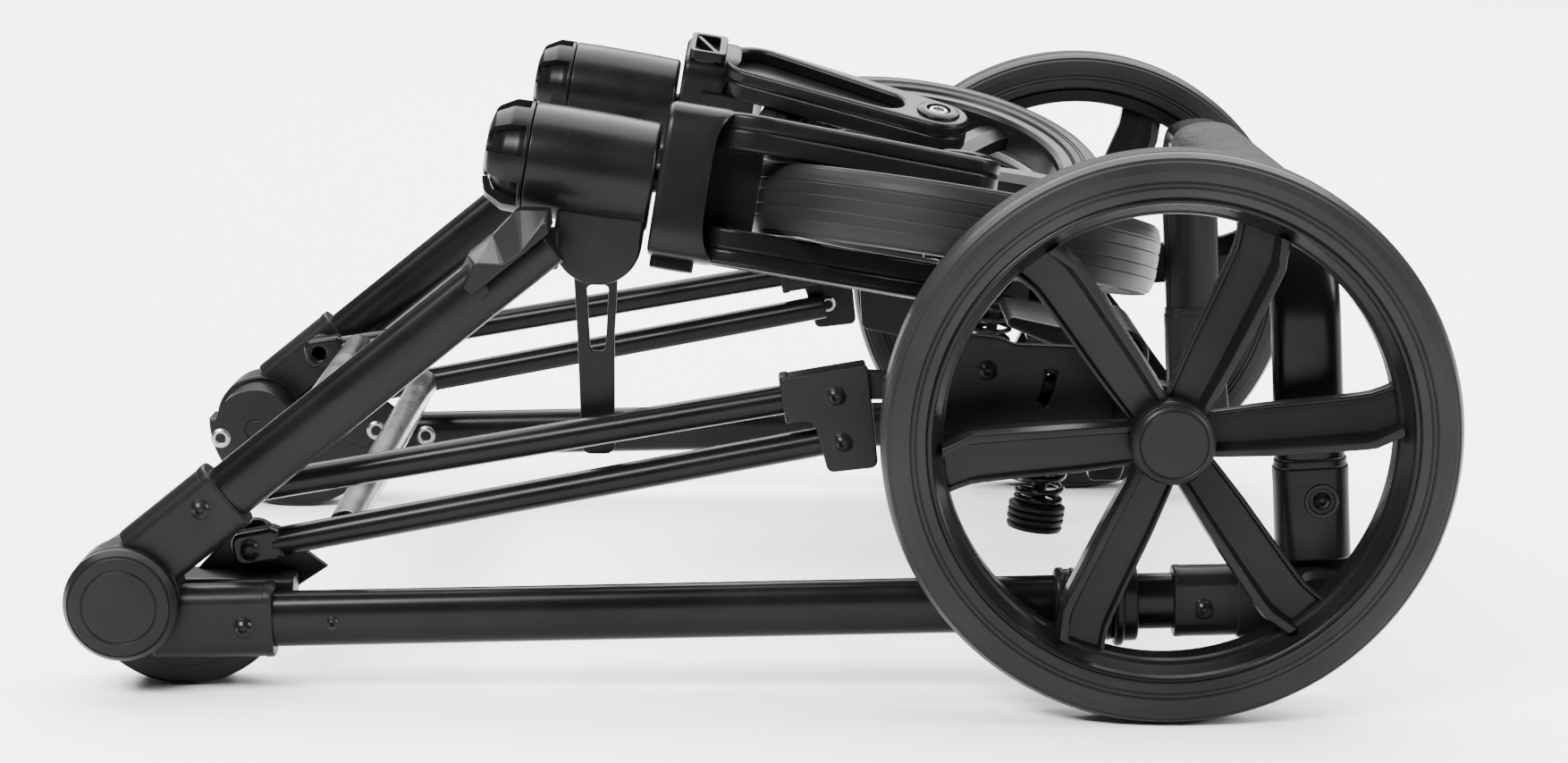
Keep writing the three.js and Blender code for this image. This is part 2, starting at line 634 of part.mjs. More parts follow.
/** A frame at the spring's top, with Y down the spring. */
function springFrame(side) {
  const frame = new THREE.Group();
  frame.position.set(SPRING.x, side.sign * SPRING.y, SPRING.z);
  frame.rotation.y = radians(SPRING.tilt);
  chassis.add(frame);
  const down = new THREE.Group();
  down.rotation.x = -Math.PI / 2;
  frame.add(down);
  return down;
}

function suspensionSpring(frame, side) {
  const turns = 5;
  const pitch = SPRING.length / turns;
  const profile = [[5.5, 0]];
  for (let i = 0; i < turns; i += 1) {
    profile.push([SPRING.radius - 3, i * pitch + 0.4], [SPRING.radius, (i + 0.5) * pitch]);
  }
  profile.push([SPRING.radius - 3, SPRING.length - 0.4], [5.5, SPRING.length - 0.4]);
  addPiece(frame, `suspension_spring_${side.name}`, turned(profile, 14), LOOK.rubber);
}

function springCup(frame, side) {
  const top = -28.4;
  const base = SPRING.length;
  const profile = [
    [0, top], [4, top], [4, base + 2], [SPRING.cup - 1.5, base], [SPRING.cup, base + 3],
    [SPRING.cup, base + SPRING.cupHeight - 2], [SPRING.cup - 2, base + SPRING.cupHeight],
    [0, base + SPRING.cupHeight],
  ];
  addPiece(frame, `spring_cup_${side.name}`, turned(profile, 16), LOOK.rubber);
}

function swingArm(side) {
  const s = side.sign;
  const knee = { x: 160, z: 155 };
  const low = s * 206;
  const high = s * (SIDE_PLATE.inner - GAP);
  const joined = [
    slab(hull([...circle(ARM_PIVOT.x, ARM_PIVOT.z, 12), ...circle(knee.x, knee.z, 11)]), low, high),
    slab(hull([...circle(knee.x, knee.z, 11), ...circle(REAR_WHEEL.x, REAR_WHEEL.z, 17)]), low, high),
    slab(new THREE.Shape([
      new THREE.Vector2(176, 114), new THREE.Vector2(196, 114), new THREE.Vector2(206, 150),
      new THREE.Vector2(176, 150),
    ]), low, high),
  ];
  const bolt = new THREE.CylinderGeometry(9, 9, 60, 16);
  bolt.rotateX(Math.PI / 2);
  bolt.rotateY(radians(SPRING.tilt));
  bolt.translate(SPRING.x + 1, s * SPRING.y, SPRING.z + 8);
  const cuts = [
    disc(ARM_PIVOT, 5 + RUNNING, s * 200, s * 230, 16),
    disc(REAR_WHEEL, 7 + RUNNING, s * 200, s * 230, 16),
    bolt,
  ];
  addPiece(chassis, `swing_arm_${side.name}`, build(joined, cuts), LOOK.moulding);
}

function rearAxle() {
  const thick = 205.5;
  const end = 292;
  const axle = turned([[0, -end], [7, -end], [7, -thick], [11, -thick], [11, thick], [7, thick],
    [7, end], [0, end]], 20);
  axle.translate(REAR_WHEEL.x, 0, REAR_WHEEL.z);
  addPiece(chassis, 'rear_axle', axle, LOOK.tube);
}

function brakePedal() {
  const collar = disc(REAR_WHEEL, 16, -45, 45);
  const paddle = new THREE.Shape([
    new THREE.Vector2(205, 158), new THREE.Vector2(150, 172), new THREE.Vector2(147, 166),
    new THREE.Vector2(203, 144),
  ]);
  const pedal = build([collar, slab(paddle, -38, 38)], [disc(REAR_WHEEL, 11 + RUNNING, -60, 60)]);
  addPiece(chassis, 'brake_pedal', pedal, LOOK.moulding);
}

function rearWheel(side) {
  const s = side.sign;
  const middle = s * (REAR_WHEEL.inner + REAR_WHEEL.outer) / 2;
  const half = (REAR_WHEEL.outer - REAR_WHEEL.inner) / 2;
  const seat = 126;
  const hub = { bore: 7 + RUNNING, radius: 22, half: 16.5 };
  const spokes = { count: 6, web: 6, rib: 22, width: 18 };
  const tyre = turned(tyreProfile(REAR_WHEEL.radius, half, seat, 15), 44);
  const rim = spokedRim(seat - SEAT_GAP, seat - 9, 15, hub, spokes, 5);
  for (const [name, geometry, look] of [['tyre', tyre, LOOK.rubber], ['rim', rim, LOOK.gloss]]) {
    geometry.translate(REAR_WHEEL.x, middle, REAR_WHEEL.z);
    addPiece(chassis, `rear_${name}_${side.name}`, geometry, look);
  }
  const face = Math.abs(middle) + hub.half + GAP;
  const cap = turned(sided([[0, face], [20, face], [20, face + 1], [17, 300], [0, 300]], s), 24);
  cap.translate(REAR_WHEEL.x, 0, REAR_WHEEL.z);
  addPiece(chassis, `rear_hub_cap_${side.name}`, cap, LOOK.moulding);
}

// ---- assembly ----------------------------------------------------------------------------------

for (const side of SIDES) {
  frontLeg(side);
  legSocket(side);
  hingeCap(side);
  legEndCover(side);
  const swivel = swivelFrame(side);
  swivelHousing(swivel, side);
  swivelCap(swivel, side);
  const caster = new THREE.Group();
  caster.rotation.x = radians(CASTER_TURN[side.name]);
  swivel.add(caster);
  fork(caster, side);
  frontAxle(caster, side);
  frontWheel(caster, side);
  handleSocket(side);
  hingePlate(side);
  handleTube(side);
  elbowSocket(side);
  releaseSleeve(side);
  gripSocket(side);
  linkTube('drag_link', DRAG_LINK_PIVOT, DRAG_LINK_END, side, -2);
  linkTube('rear_link', REAR_LINK_PIVOT, REAR_LINK_END, side, 12);
  linkBracket(side);
  sidePlate(side);
  const spring = springFrame(side);
  suspensionSpring(spring, side);
  springCup(spring, side);
  swingArm(side);
  rearWheel(side);
}
frontCrossTube();
storageLatch();
gripTube();
crossTube('drag_cross_tube', DRAG_LINK_PIVOT, DRAG_LINK_END, DRAG_CROSS_TUBE);
crossTube('rear_cross_tube', REAR_LINK_PIVOT, REAR_LINK_END, REAR_CROSS_TUBE);
rearAxle();
brakePedal();

export default chassis;
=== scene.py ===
"""Folded stroller chassis: the detailed pieces, their finishes, the studio and the camera.

The pieces' lengths are in millimetres, in the CAD's frame, and are turned into metres as a mesh
is made. The studio's are in metres. A shell is a pair of lists: its points and its faces.
"""
import math

import bmesh
import bpy
from mathutils import Matrix, Vector
from mathutils.geometry import tessellate_polygon


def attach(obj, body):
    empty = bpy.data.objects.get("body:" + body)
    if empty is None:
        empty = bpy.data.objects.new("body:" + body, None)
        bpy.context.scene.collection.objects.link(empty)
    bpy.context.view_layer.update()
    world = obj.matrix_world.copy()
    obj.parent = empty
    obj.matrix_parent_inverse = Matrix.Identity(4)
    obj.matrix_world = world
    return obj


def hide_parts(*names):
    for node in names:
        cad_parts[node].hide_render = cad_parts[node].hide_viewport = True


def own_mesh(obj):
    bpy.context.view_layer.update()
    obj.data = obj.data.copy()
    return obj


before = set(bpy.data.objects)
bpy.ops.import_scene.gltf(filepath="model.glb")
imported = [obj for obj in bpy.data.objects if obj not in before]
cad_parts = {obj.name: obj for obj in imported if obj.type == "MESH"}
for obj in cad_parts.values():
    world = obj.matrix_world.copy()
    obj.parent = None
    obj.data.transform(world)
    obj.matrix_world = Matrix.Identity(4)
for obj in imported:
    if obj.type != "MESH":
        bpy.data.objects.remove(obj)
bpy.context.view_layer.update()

MM = 0.001
SIDES = (("right", -1), ("left", 1))

# ---- dimensions of the chassis, as in the CAD ---------------------------------------------------

HINGE = (-334, 52.3)
LEG_ANGLE, LEG_OFFSET, LEG_SOCKET_END = 39, 9.6, 78.8
HANDLE_ANGLE, HANDLE_OFFSET, HANDLE_SOCKET_END = 1.5, -13.8, 78
TUBE_Y, TUBE_WIDE, TUBE_TALL = 242, 20, 30
SOCKET_IN, SOCKET_SPLIT, SOCKET_OUT = 230, 242.7, 254
LINK_Y = 215
PLATE_MIDDLE, PLATE_RADIUS = (-306, 59), 59
REAR_LINK_PIVOT, REAR_LINK_END = (-291.6, 102.3), (43.2, 161)
DRAG_LINK_PIVOT, DRAG_LINK_END = (-271.1, 73.5), (47.2, 135.5)
SWIVEL = (-88, 188, 277)
SWIVEL_TILT, SWIVEL_RADIUS, SWIVEL_HALF = 9, 30.5, 34
FLAP, FLAP_RADIUS = (9.3, -36.2), 23.8
CROSS_BAR = (-86, 233)
CASTER_TURN = {"right": -10, "left": -164}
AXLE_ALONG, AXLE_TRAIL = 200.5, 41
FORK_HIGH, ARM_INNER, ARM_OUTER = 42.2, 20.8, 40.4
FRONT_RADIUS, REAR_RADIUS = 113.5, 150
SPOKES = 6
GRIP_LEAN, GRIP_FROM, GRIP_TOP = 93.7, 46, 254
GRIP_BEND, GRIP_WIDE, COVER_HALF = 48, 37, 150
GRIP_SCREW = (299.3, 110.6)
UPPER_RIVET, LOWER_RIVET = (43.2, 160.3), (47.2, 135.1)
ARM_PIVOT, ARM_KNEE = (123.3, 175.3), (160, 155)
SPRING_TOP = (158.5, 209, 143)
SPRING_TILT = 7
REAR_AXLE = (215, 150)
REAR_MIDDLE, REAR_TURN = 281, 5
CROSS_HALF, AXLE_HALF, AXLE_SHOULDER = 206.5, 291.6, 205.5

CORNER_SHARE = 0.48                    # of an edge, that one rounded corner may take
SHARP_EDGE = math.radians(40)
SPECULAR_METAL, SPECULAR_OTHER = 0.5, 0.10
MOTTLE, GLOSS_PATCHES = 14, 38         # noise scales of the tone and of the gloss
MOTTLE_GAIN, MOTTLE_LIFT = 1.5, 0.002  # from a finish's dark tone to its light one
GRAIN_DEPTH, CELL_DEPTH = 0.0004, 0.001


# ---- outlines -----------------------------------------------------------------------------------

def axis_from(centre, angle):
    """Points along an axis in the X-Z plane, and offset square to it."""
    c, s = math.cos(math.radians(angle)), math.sin(math.radians(angle))
    return lambda along, off: (centre[0] + along * c - off * s, centre[1] + along * s + off * c)


def slope(start, end):
    """The angle of a line in the X-Z plane, in degrees."""
    return math.degrees(math.atan2(end[1] - start[1], end[0] - start[0]))


leg_axis = axis_from(HINGE, LEG_ANGLE)
handle_axis = axis_from(HINGE, HANDLE_ANGLE)
ELBOW = handle_axis(633, -16)
grip_axis = axis_from(ELBOW, GRIP_LEAN)


def fillet(points, radius, steps=4, closed=True):
    """Rounds each corner of an outline. radius is one number, or one for each corner."""
    count = len(points)
    radii = radius if isinstance(radius, (list, tuple)) else [radius] * count
    out = []
    for i, p in enumerate(points):
        if radii[i] <= 0 or (not closed and i in (0, count - 1)):
            out.append(tuple(p))
            continue
        p = Vector(p)
        before = Vector(points[i - 1]) - p
        after = Vector(points[(i + 1) % count]) - p
        cosine = max(-0.999, min(0.999, before.normalized().dot(after.normalized())))
        half = math.acos(cosine) / 2
        reach = min(radii[i] / math.tan(half),
                    CORNER_SHARE * before.length, CORNER_SHARE * after.length)
        a, b = p + before.normalized() * reach, p + after.normalized() * reach
        inwards = (before.normalized() + after.normalized()).normalized()
        centre = p + inwards * (reach / math.cos(half))
        start, end = a - centre, b - centre
        span = start.angle_signed(end)
        for k in range(steps + 1):
            turn = -span * k / steps
            c, s = math.cos(turn), math.sin(turn)
            out.append((centre.x + start.x * c - start.y * s,
                        centre.y + start.x * s + start.y * c))
    return out


def arc(centre, radii, degrees):
    """Points on a part of an ellipse, at the given angles."""
    return [(centre[0] + radii[0] * math.cos(math.radians(a)),
             centre[1] + radii[1] * math.sin(math.radians(a))) for a in degrees]


def circle(centre, radius, steps=32):
    return [(centre[0] + radius * math.cos(2 * math.pi * i / steps),
             centre[1] + radius * math.sin(2 * math.pi * i / steps)) for i in range(steps)]


def hull(points):
    """The convex outline round a set of points."""
    ordered = sorted(set(points))

    def chain(items):
        out = []
        for p in items:
            while len(out) > 1 and ((out[-1][0] - out[-2][0]) * (p[1] - out[-2][1])
                                    - (out[-1][1] - out[-2][1]) * (p[0] - out[-2][0])) <= 1e-6:
                out.pop()
            out.append(p)
        return out[:-1]

    return chain(ordered) + chain(ordered[::-1])


def rounded_box(width, height, radius, steps=6):
    w, h = width / 2, height / 2
    return fillet([(-w, -h), (w, -h), (w, h), (-w, h)], radius, steps)


def oval(width, height):
    """A slot shape: two straight sides with a half circle at each end."""
    return rounded_box(width, height, min(width, height) / 2 - 0.01, 12)


def tube_section(width, height, power=2.35, steps=48):
    """A full oval that is a little squarer than an ellipse."""
    out = []
    for i in range(steps):
        angle = 2 * math.pi * i / steps
        c, s = math.cos(angle), math.sin(angle)
        out.append((width / 2 * math.copysign(abs(c) ** (2 / power), c),
                    height / 2 * math.copysign(abs(s) ** (2 / power), s)))
    return out


def area(points):
    """The area of an outline, positive where it runs anticlockwise."""
    return sum(a[0] * b[1] - b[0] * a[1] for a, b in zip(points, points[1:] + points[:1])) / 2


def inset(points, distance):
    """Moves an outline to its left side, which is inwards where it runs anticlockwise."""
    count = len(points)
    out = []
    for i in range(count):
        p = Vector(points[i])
        a = (p - Vector(points[i - 1])).normalized()
        b = (Vector(points[(i + 1) % count]) - p).normalized()
        na, nb = Vector((-a.y, a.x)), Vector((-b.y, b.x))
        both = na + nb
        share = max(0.35, 1 + na.dot(nb))
        out.append((p.x + both.x / share * distance, p.y + both.y / share * distance))
    return out


# ---- closed shells: (points, faces) -------------------------------------------------------------

def placed(shell, matrix):
    return [tuple(matrix @ Vector(p)) for p in shell[0]], shell[1]


def joined(*shells):
    points, faces = [], []
    for shell_points, shell_faces in shells:
        first = len(points)
        points += shell_points
        faces += [tuple(i + first for i in face) for face in shell_faces]
    return points, faces


def basis(origin, x, y, z):
    """The frame with these axes."""
    m = Matrix.Identity(4)
    for column, axis in enumerate((x, y, z, origin)):
        for row in range(3):
            m[row][column] = axis[row]
    return m


def lathe(profile, steps=64, sweep=360.0, start=0.0):
    """Turns (radius, height) points about +Z. A part turn is closed at its two ends."""
    full = sweep == 360
    count = steps if full else steps + 1
    ring_profile = profile[0][0] > 1e-6 or profile[-1][0] > 1e-6
    points, rings, faces = [], [], []
    for r, h in profile:
        if r < 1e-6:
            rings.append([len(points)] * count)
            points.append((0, 0, h))
            continue
        rings.append(list(range(len(points), len(points) + count)))
        for i in range(count):
            angle = math.radians(start + sweep * i / steps)
            points.append((r * math.cos(angle), r * math.sin(angle), h))
    pairs = list(zip(rings, rings[1:]))
    if ring_profile:
        pairs.append((rings[-1], rings[0]))
    for a, b in pairs:
        for i in range(steps):
            k = (i + 1) % count
            face = []
            for index in (a[i], a[k], b[k], b[i]):
                if index not in face:
                    face.append(index)
            if len(face) > 2:
                faces.append(tuple(face))
    if not full:
        faces.append(tuple(dict.fromkeys(r[0] for r in rings)))
        faces.append(tuple(dict.fromkeys(r[-1] for r in reversed(rings))))
    return points, faces


def pin(radius, low, high, steps=32):
    """A plain round pin along Z."""
    return lathe([(0, low), (radius, low), (radius, high), (0, high)], steps)


def pipe(bore, radius, half):
    """A tube about the origin, along Z."""
    return lathe(fillet([(bore, -half), (radius, -half), (radius, half), (bore, half)], .4, 2), 48)


def prism(outline, low, high, bevel, holes=(), steps=3):
    """Extrudes an outline along +Z, with rounded edges."""
    loops = [list(outline) if area(list(outline)) > 0 else list(outline)[::-1]]
    loops += [list(h)[::-1] if area(list(h)) > 0 else list(h) for h in holes]
    levels = []
    for i in range(steps + 1):
        angle = math.pi / 2 * i / steps
        levels.append((low + bevel * (1 - math.cos(angle)), bevel * (1 - math.sin(angle))))
    levels += [(high - (z - low), d) for z, d in reversed(levels)]
    points, faces, ends = [], [], [[], []]
    for loop in loops:
        rings = []
        for z, d in levels:
            shape = inset(loop, d) if d > 1e-9 else loop
            rings.append(list(range(len(points), len(points) + len(loop))))
            points += [(p[0], p[1], z) for p in shape]
        for a, b in zip(rings, rings[1:]):
            for i in range(len(loop)):
                k = (i + 1) % len(loop)
                faces.append((a[i], a[k], b[k], b[i]))
        ends[0].append(rings[0])
        ends[1].append(rings[-1])
    for end in ends:
        index = [i for ring in end for i in ring]
        flat = tessellate_polygon([[Vector(points[i]) for i in ring] for ring in end])
        faces += [tuple(index[k] for k in face) for face in flat]
    return points, faces


def skin(rings):
    """Joins rings of points into a tube, closed at its ends."""
    points, faces = [], []
    index = []
    for ring in rings:
        index.append(list(range(len(points), len(points) + len(ring))))
        points += [tuple(p) for p in ring]
    for a, b in zip(index, index[1:]):
        for i in range(len(a)):
            k = (i + 1) % len(a)
            faces.append((a[i], a[k], b[k], b[i]))
    faces += [tuple(index[0]), tuple(index[-1])]
    return points, faces


def plate(outline, y_a, y_b, bevel=1.0, holes=(), steps=3):
    """A flat piece drawn in the X-Z plane, between two positions along Y."""
    turn = basis((0, 0, 0), (1, 0, 0), (0, 0, 1), (0, -1, 0))
    return placed(prism(outline, -max(y_a, y_b), -min(y_a, y_b), bevel, holes, steps), turn)


def bar(section, start, angle, length, y, bevel=1.0):
    """A straight length of a section (across along Y, up), in the X-Z plane."""
    c, s = math.cos(math.radians(angle)), math.sin(math.radians(angle))
    turn = basis((start[0], y, start[1]), (0, 1, 0), (-s, 0, c), (c, 0, s))
    return placed(prism(section, 0, length, bevel), turn)


def across(x, z, y, sign):
    """A frame at a point, with its +Z pointing along Y to the side of sign."""
    return basis((x, y, z), (1, 0, 0), (0, 0, sign * -1.0), (0, sign * 1.0, 0))


def swept(path, radius, steps):
    """A round rod along a path of points."""
    rings = []
    normal = None
    last = len(path) - 1
    for i, p in enumerate(path):
        before = Vector(path[max(i - 1, 0)])
        after = Vector(path[min(i + 1, last)])
        along = (after - before).normalized()
        if normal is None:
            normal = along.orthogonal().normalized()
        normal = (normal - along * normal.dot(along)).normalized()
        side = along.cross(normal)
        rings.append([Vector(p) + (normal * math.cos(a) + side * math.sin(a)) * radius
                      for a in (2 * math.pi * k / steps for k in range(steps))])
    return skin(rings)


# ---- finishes -----------------------------------------------------------------------------------

def finish(name, colour, rough, metal=0.0, grain=900.0, bump=0.02, spread=0.06):
    """A moulded, painted or metal surface, with faint mottling, grain and uneven gloss."""
    mat = bpy.data.materials.new(name)
    mat.use_nodes = True
    nodes, links = mat.node_tree.nodes, mat.node_tree.links
    shader = nodes["Principled BSDF"]
    shader.inputs["Metallic"].default_value = metal
    shader.inputs["Specular IOR Level"].default_value = SPECULAR_METAL if metal else SPECULAR_OTHER
    where = nodes.new("ShaderNodeTexCoord").outputs["Object"]

    def noise(scale, detail):
        node = nodes.new("ShaderNodeTexNoise")
        node.inputs["Scale"].default_value = scale
        node.inputs["Detail"].default_value = detail
        links.new(where, node.inputs["Vector"])
        return node.outputs["Fac"]

    def ranged(source, low, high):
        node = nodes.new("ShaderNodeMapRange")
        node.inputs["From Min"].default_value = 0.3
        node.inputs["From Max"].default_value = 0.7
        node.inputs["To Min"].default_value = low
        node.inputs["To Max"].default_value = high
        links.new(source, node.inputs["Value"])
        return node.outputs["Result"]

    tone = nodes.new("ShaderNodeMix")
    tone.data_type = "RGBA"
    tone.inputs["A"].default_value = (*colour, 1)
    tone.inputs["B"].default_value = (*(min(1, c * MOTTLE_GAIN + MOTTLE_LIFT) for c in colour), 1)
    links.new(ranged(noise(MOTTLE, 5), 0, 1), tone.inputs["Factor"])
    links.new(tone.outputs["Result"], shader.inputs["Base Color"])
    gloss = ranged(noise(GLOSS_PATCHES, 6), rough - spread, rough + spread)
    links.new(gloss, shader.inputs["Roughness"])
    relief = nodes.new("ShaderNodeBump")
    relief.inputs["Strength"].default_value = bump
    relief.inputs["Distance"].default_value = GRAIN_DEPTH
    links.new(noise(grain, 3), relief.inputs["Height"])
    links.new(relief.outputs["Normal"], shader.inputs["Normal"])
    return mat


def wrap_finish(name, colour):
    """A stitched-looking textured wrap: small raised cells."""
    mat = finish(name, colour, 0.62, grain=700, bump=0.2)
    nodes, links = mat.node_tree.nodes, mat.node_tree.links
    cells = nodes.new("ShaderNodeTexVoronoi")
    cells.inputs["Scale"].default_value = 330
    links.new(nodes["Texture Coordinate"].outputs["Object"], cells.inputs["Vector"])
    relief = nodes.new("ShaderNodeBump")
    relief.inputs["Strength"].default_value = 0.8
    relief.inputs["Distance"].default_value = CELL_DEPTH
    relief.invert = True
    links.new(cells.outputs["Distance"], relief.inputs["Height"])
    links.new(nodes["Bump"].outputs["Normal"], relief.inputs["Normal"])
    links.new(relief.outputs["Normal"], nodes["Principled BSDF"].inputs["Normal"])
    return mat


LOOKS = {
    "black_tube": finish("tube_coat", (0.0016, 0.0017, 0.0019), 0.25,
                         grain=1500, bump=0.008, spread=0.03),
    "black_moulding": finish("moulded_black", (0.0030, 0.0030, 0.0032), 0.36,
                             grain=1300, bump=0.05, spread=0.04),
    "gloss_moulding": finish("smooth_black", (0.0024, 0.0025, 0.0028), 0.29,
                             grain=1100, bump=0.03, spread=0.04),
    "tyre": finish("tyre_rubber", (0.0075, 0.0071, 0.0071), 0.42,
                   grain=1000, bump=0.08, spread=0.05),
    "spring_rubber": finish("rubber_black", (0.005, 0.005, 0.0055), 0.48, bump=0.1),
    "spring_steel": finish("spring_black", (0.004, 0.004, 0.0045), 0.22),
    "bare_metal": finish("plated_metal", (0.17, 0.172, 0.176), 0.28,
                         metal=1.0, grain=700, bump=0.03, spread=0.04),
    "grip_wrap": wrap_finish("grip_wrap", (0.006, 0.006, 0.0063)),
}


# ---- pieces -------------------------------------------------------------------------------------

def piece(name, shell, slot, body, replaced=()):
    """Makes a piece from a shell, with its finish, and puts it on its body."""
    bm = bmesh.new()
    corners = [bm.verts.new(Vector(p) * MM) for p in shell[0]]
    for face in shell[1]:
        bm.faces.new([corners[i] for i in face])
    bmesh.ops.recalc_face_normals(bm, faces=bm.faces)
    for face in bm.faces:
        face.smooth = True
    for edge in bm.edges:
        if len(edge.link_faces) == 2 and edge.calc_face_angle(0) > SHARP_EDGE:
            edge.smooth = False
    mesh = bpy.data.meshes.new(name)
    bm.to_mesh(mesh)
    bm.free()
    mesh.materials.append(LOOKS[slot])
    obj = bpy.data.objects.new(name, mesh)
    bpy.context.scene.collection.objects.link(obj)
    normals = obj.modifiers.new("even_faces", "WEIGHTED_NORMAL")
    normals.keep_sharp = True
    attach(obj, body)
    if replaced:
        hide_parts(*replaced)
    return obj


def screw(x, z, y, sign, radius=5.5, height=2.6):
    """A button-head screw with its socket, standing on a face at y."""
    profile = fillet([(radius + 1.2, -0.6), (radius + 1.2, 0.2), (radius + 0.3, 0.3),
                      (radius * 0.86, height * 0.55), (radius * 0.5, height),
                      (radius * 0.42, height - 0.2), (radius * 0.36, height - 1.7),
                      (0, height - 1.9)], 0.5, 3, closed=False)
    return placed(lathe([(0, -0.6)] + profile, 32), across(x, z, y, sign))


def eyelet(x, z, y, sign, outer=6.6, inner=3.0):
    """The rolled ring of a rivet, standing on a face at y."""
    profile = fillet([(inner, -0.5), (outer, -0.5), (outer, 0.9), (outer * 0.75, 1.8),
                      (inner * 1.25, 1.8), (inner, 0.9)], 0.6, 3)
    return placed(lathe(profile, 32), across(x, z, y, sign))


# ---- front frame --------------------------------------------------------------------------------

def front_frame(side, s):
    """The leg: its tube, its socket and cap at the fold hinge, and the cover at its upper end."""
    def along_leg(section, start, length, bevel=1.0, offset=LEG_OFFSET):
        return bar(section, leg_axis(start, offset), LEG_ANGLE, length, s * TUBE_Y, bevel)

    tube = joined(along_leg(tube_section(TUBE_WIDE, TUBE_TALL), 48, 210),
                  along_leg(tube_section(TUBE_WIDE, 21), 250, 47, offset=LEG_OFFSET - 4.5))
    piece(f"leg_tube_{side}", tube, "black_tube", "front_frame", [f"front_leg_{side}"])

    disc = lathe(fillet([(8, 0.3), (30.6, 0.3), (30.6, 11), (8, 11)], [0, 1, 2.2, 0], 4), 96)
    boss = lathe(fillet([(4.4, -22.5), (10, -22.5), (10, 0), (4.4, 0)], 1, 3), 40)
    socket = joined(along_leg(rounded_box(23.6, 39, 9), 20, LEG_SOCKET_END - 20, 1.4),
                    along_leg(rounded_box(24, 40, 9.4), LEG_SOCKET_END - 5, 5.4, 1.2),
                    placed(disc, across(*HINGE, s * SOCKET_SPLIT, s)),
                    placed(boss, across(*REAR_LINK_PIVOT, s * 246, s)))
    piece(f"leg_hinge_socket_{side}", socket, "black_moulding", "front_frame",
          [f"leg_socket_{side}"])

    cap = lathe(fillet([(0, 0.3), (30.3, 0.3), (30.5, 7), (27.6, 10.9), (26.9, 10.2), (26.2, 11.6),
                        (20.3, 11.9), (19.7, 11.2), (19.1, 11.9), (12, 12.2), (0, 12.3)],
                       [0, 1, 2.5, .4, .3, .5, .4, .3, .5, 3, 0], 4, closed=False), 128)
    cap = placed(joined(cap, pin(6, -53, 1)), across(*HINGE, s * SOCKET_OUT, s))
    piece(f"fold_hinge_cap_{side}", cap, "black_moulding", "front_frame", [f"hinge_cap_{side}"])

    # The cover's inner outline reaches the crest, and its outer one only the lower flank.
    low_corners = [leg_axis(249, 11), leg_axis(286, 11), (-107, 251)]
    crest = [(-108.2, 259.8), (-125, 260.3), leg_axis(275, 27.8), leg_axis(258, 27.8),
             leg_axis(248, 23)]
    flank = [(-108.4, 258.4), (-121.5, 241.5), (-131.7, 234.6), (-146, 235.4), leg_axis(248, 17)]
    radii = [2, 2, 2, 1.5, 6, 5, 3, 3]
    inner = fillet(low_corners + crest, radii, 4)
    outer = fillet(low_corners + flank, radii, 4)
    rings = [[(x, s * y, z) for x, z in ring] for y, ring in (
        (218.9, inset(inner, 1)), (220, inner), (236, inner), (253.2, outer),
        (254.0, inset(outer, 0.4)), (254.4, inset(outer, 1.2)))]
    neck = plate(fillet([(-126, 228), (-104.5, 226), (-104.5, 248), (-126, 248)], 2, 3),
                 s * 208.4, s * 220)
    piece(f"leg_top_cover_{side}", joined(skin(rings), neck), "black_moulding", "front_frame",
          [f"leg_end_cover_{side}"])

    piece(f"leg_screws_{side}", screw(*REAR_LINK_PIVOT, s * SOCKET_OUT, s, 4.9), "spring_steel",
          "front_frame")


def swivel_frame(s):
    """The swivel's frame: +X runs down it, from its cap to its fork."""
    place = Matrix.Translation((SWIVEL[0], s * SWIVEL[1], SWIVEL[2]))
    return place @ Matrix.Rotation(math.radians(SWIVEL_TILT), 4, "Y")


ALONG_X = basis((0, 0, 0), (0, 1, 0), (0, 0, 1), (1, 0, 0))


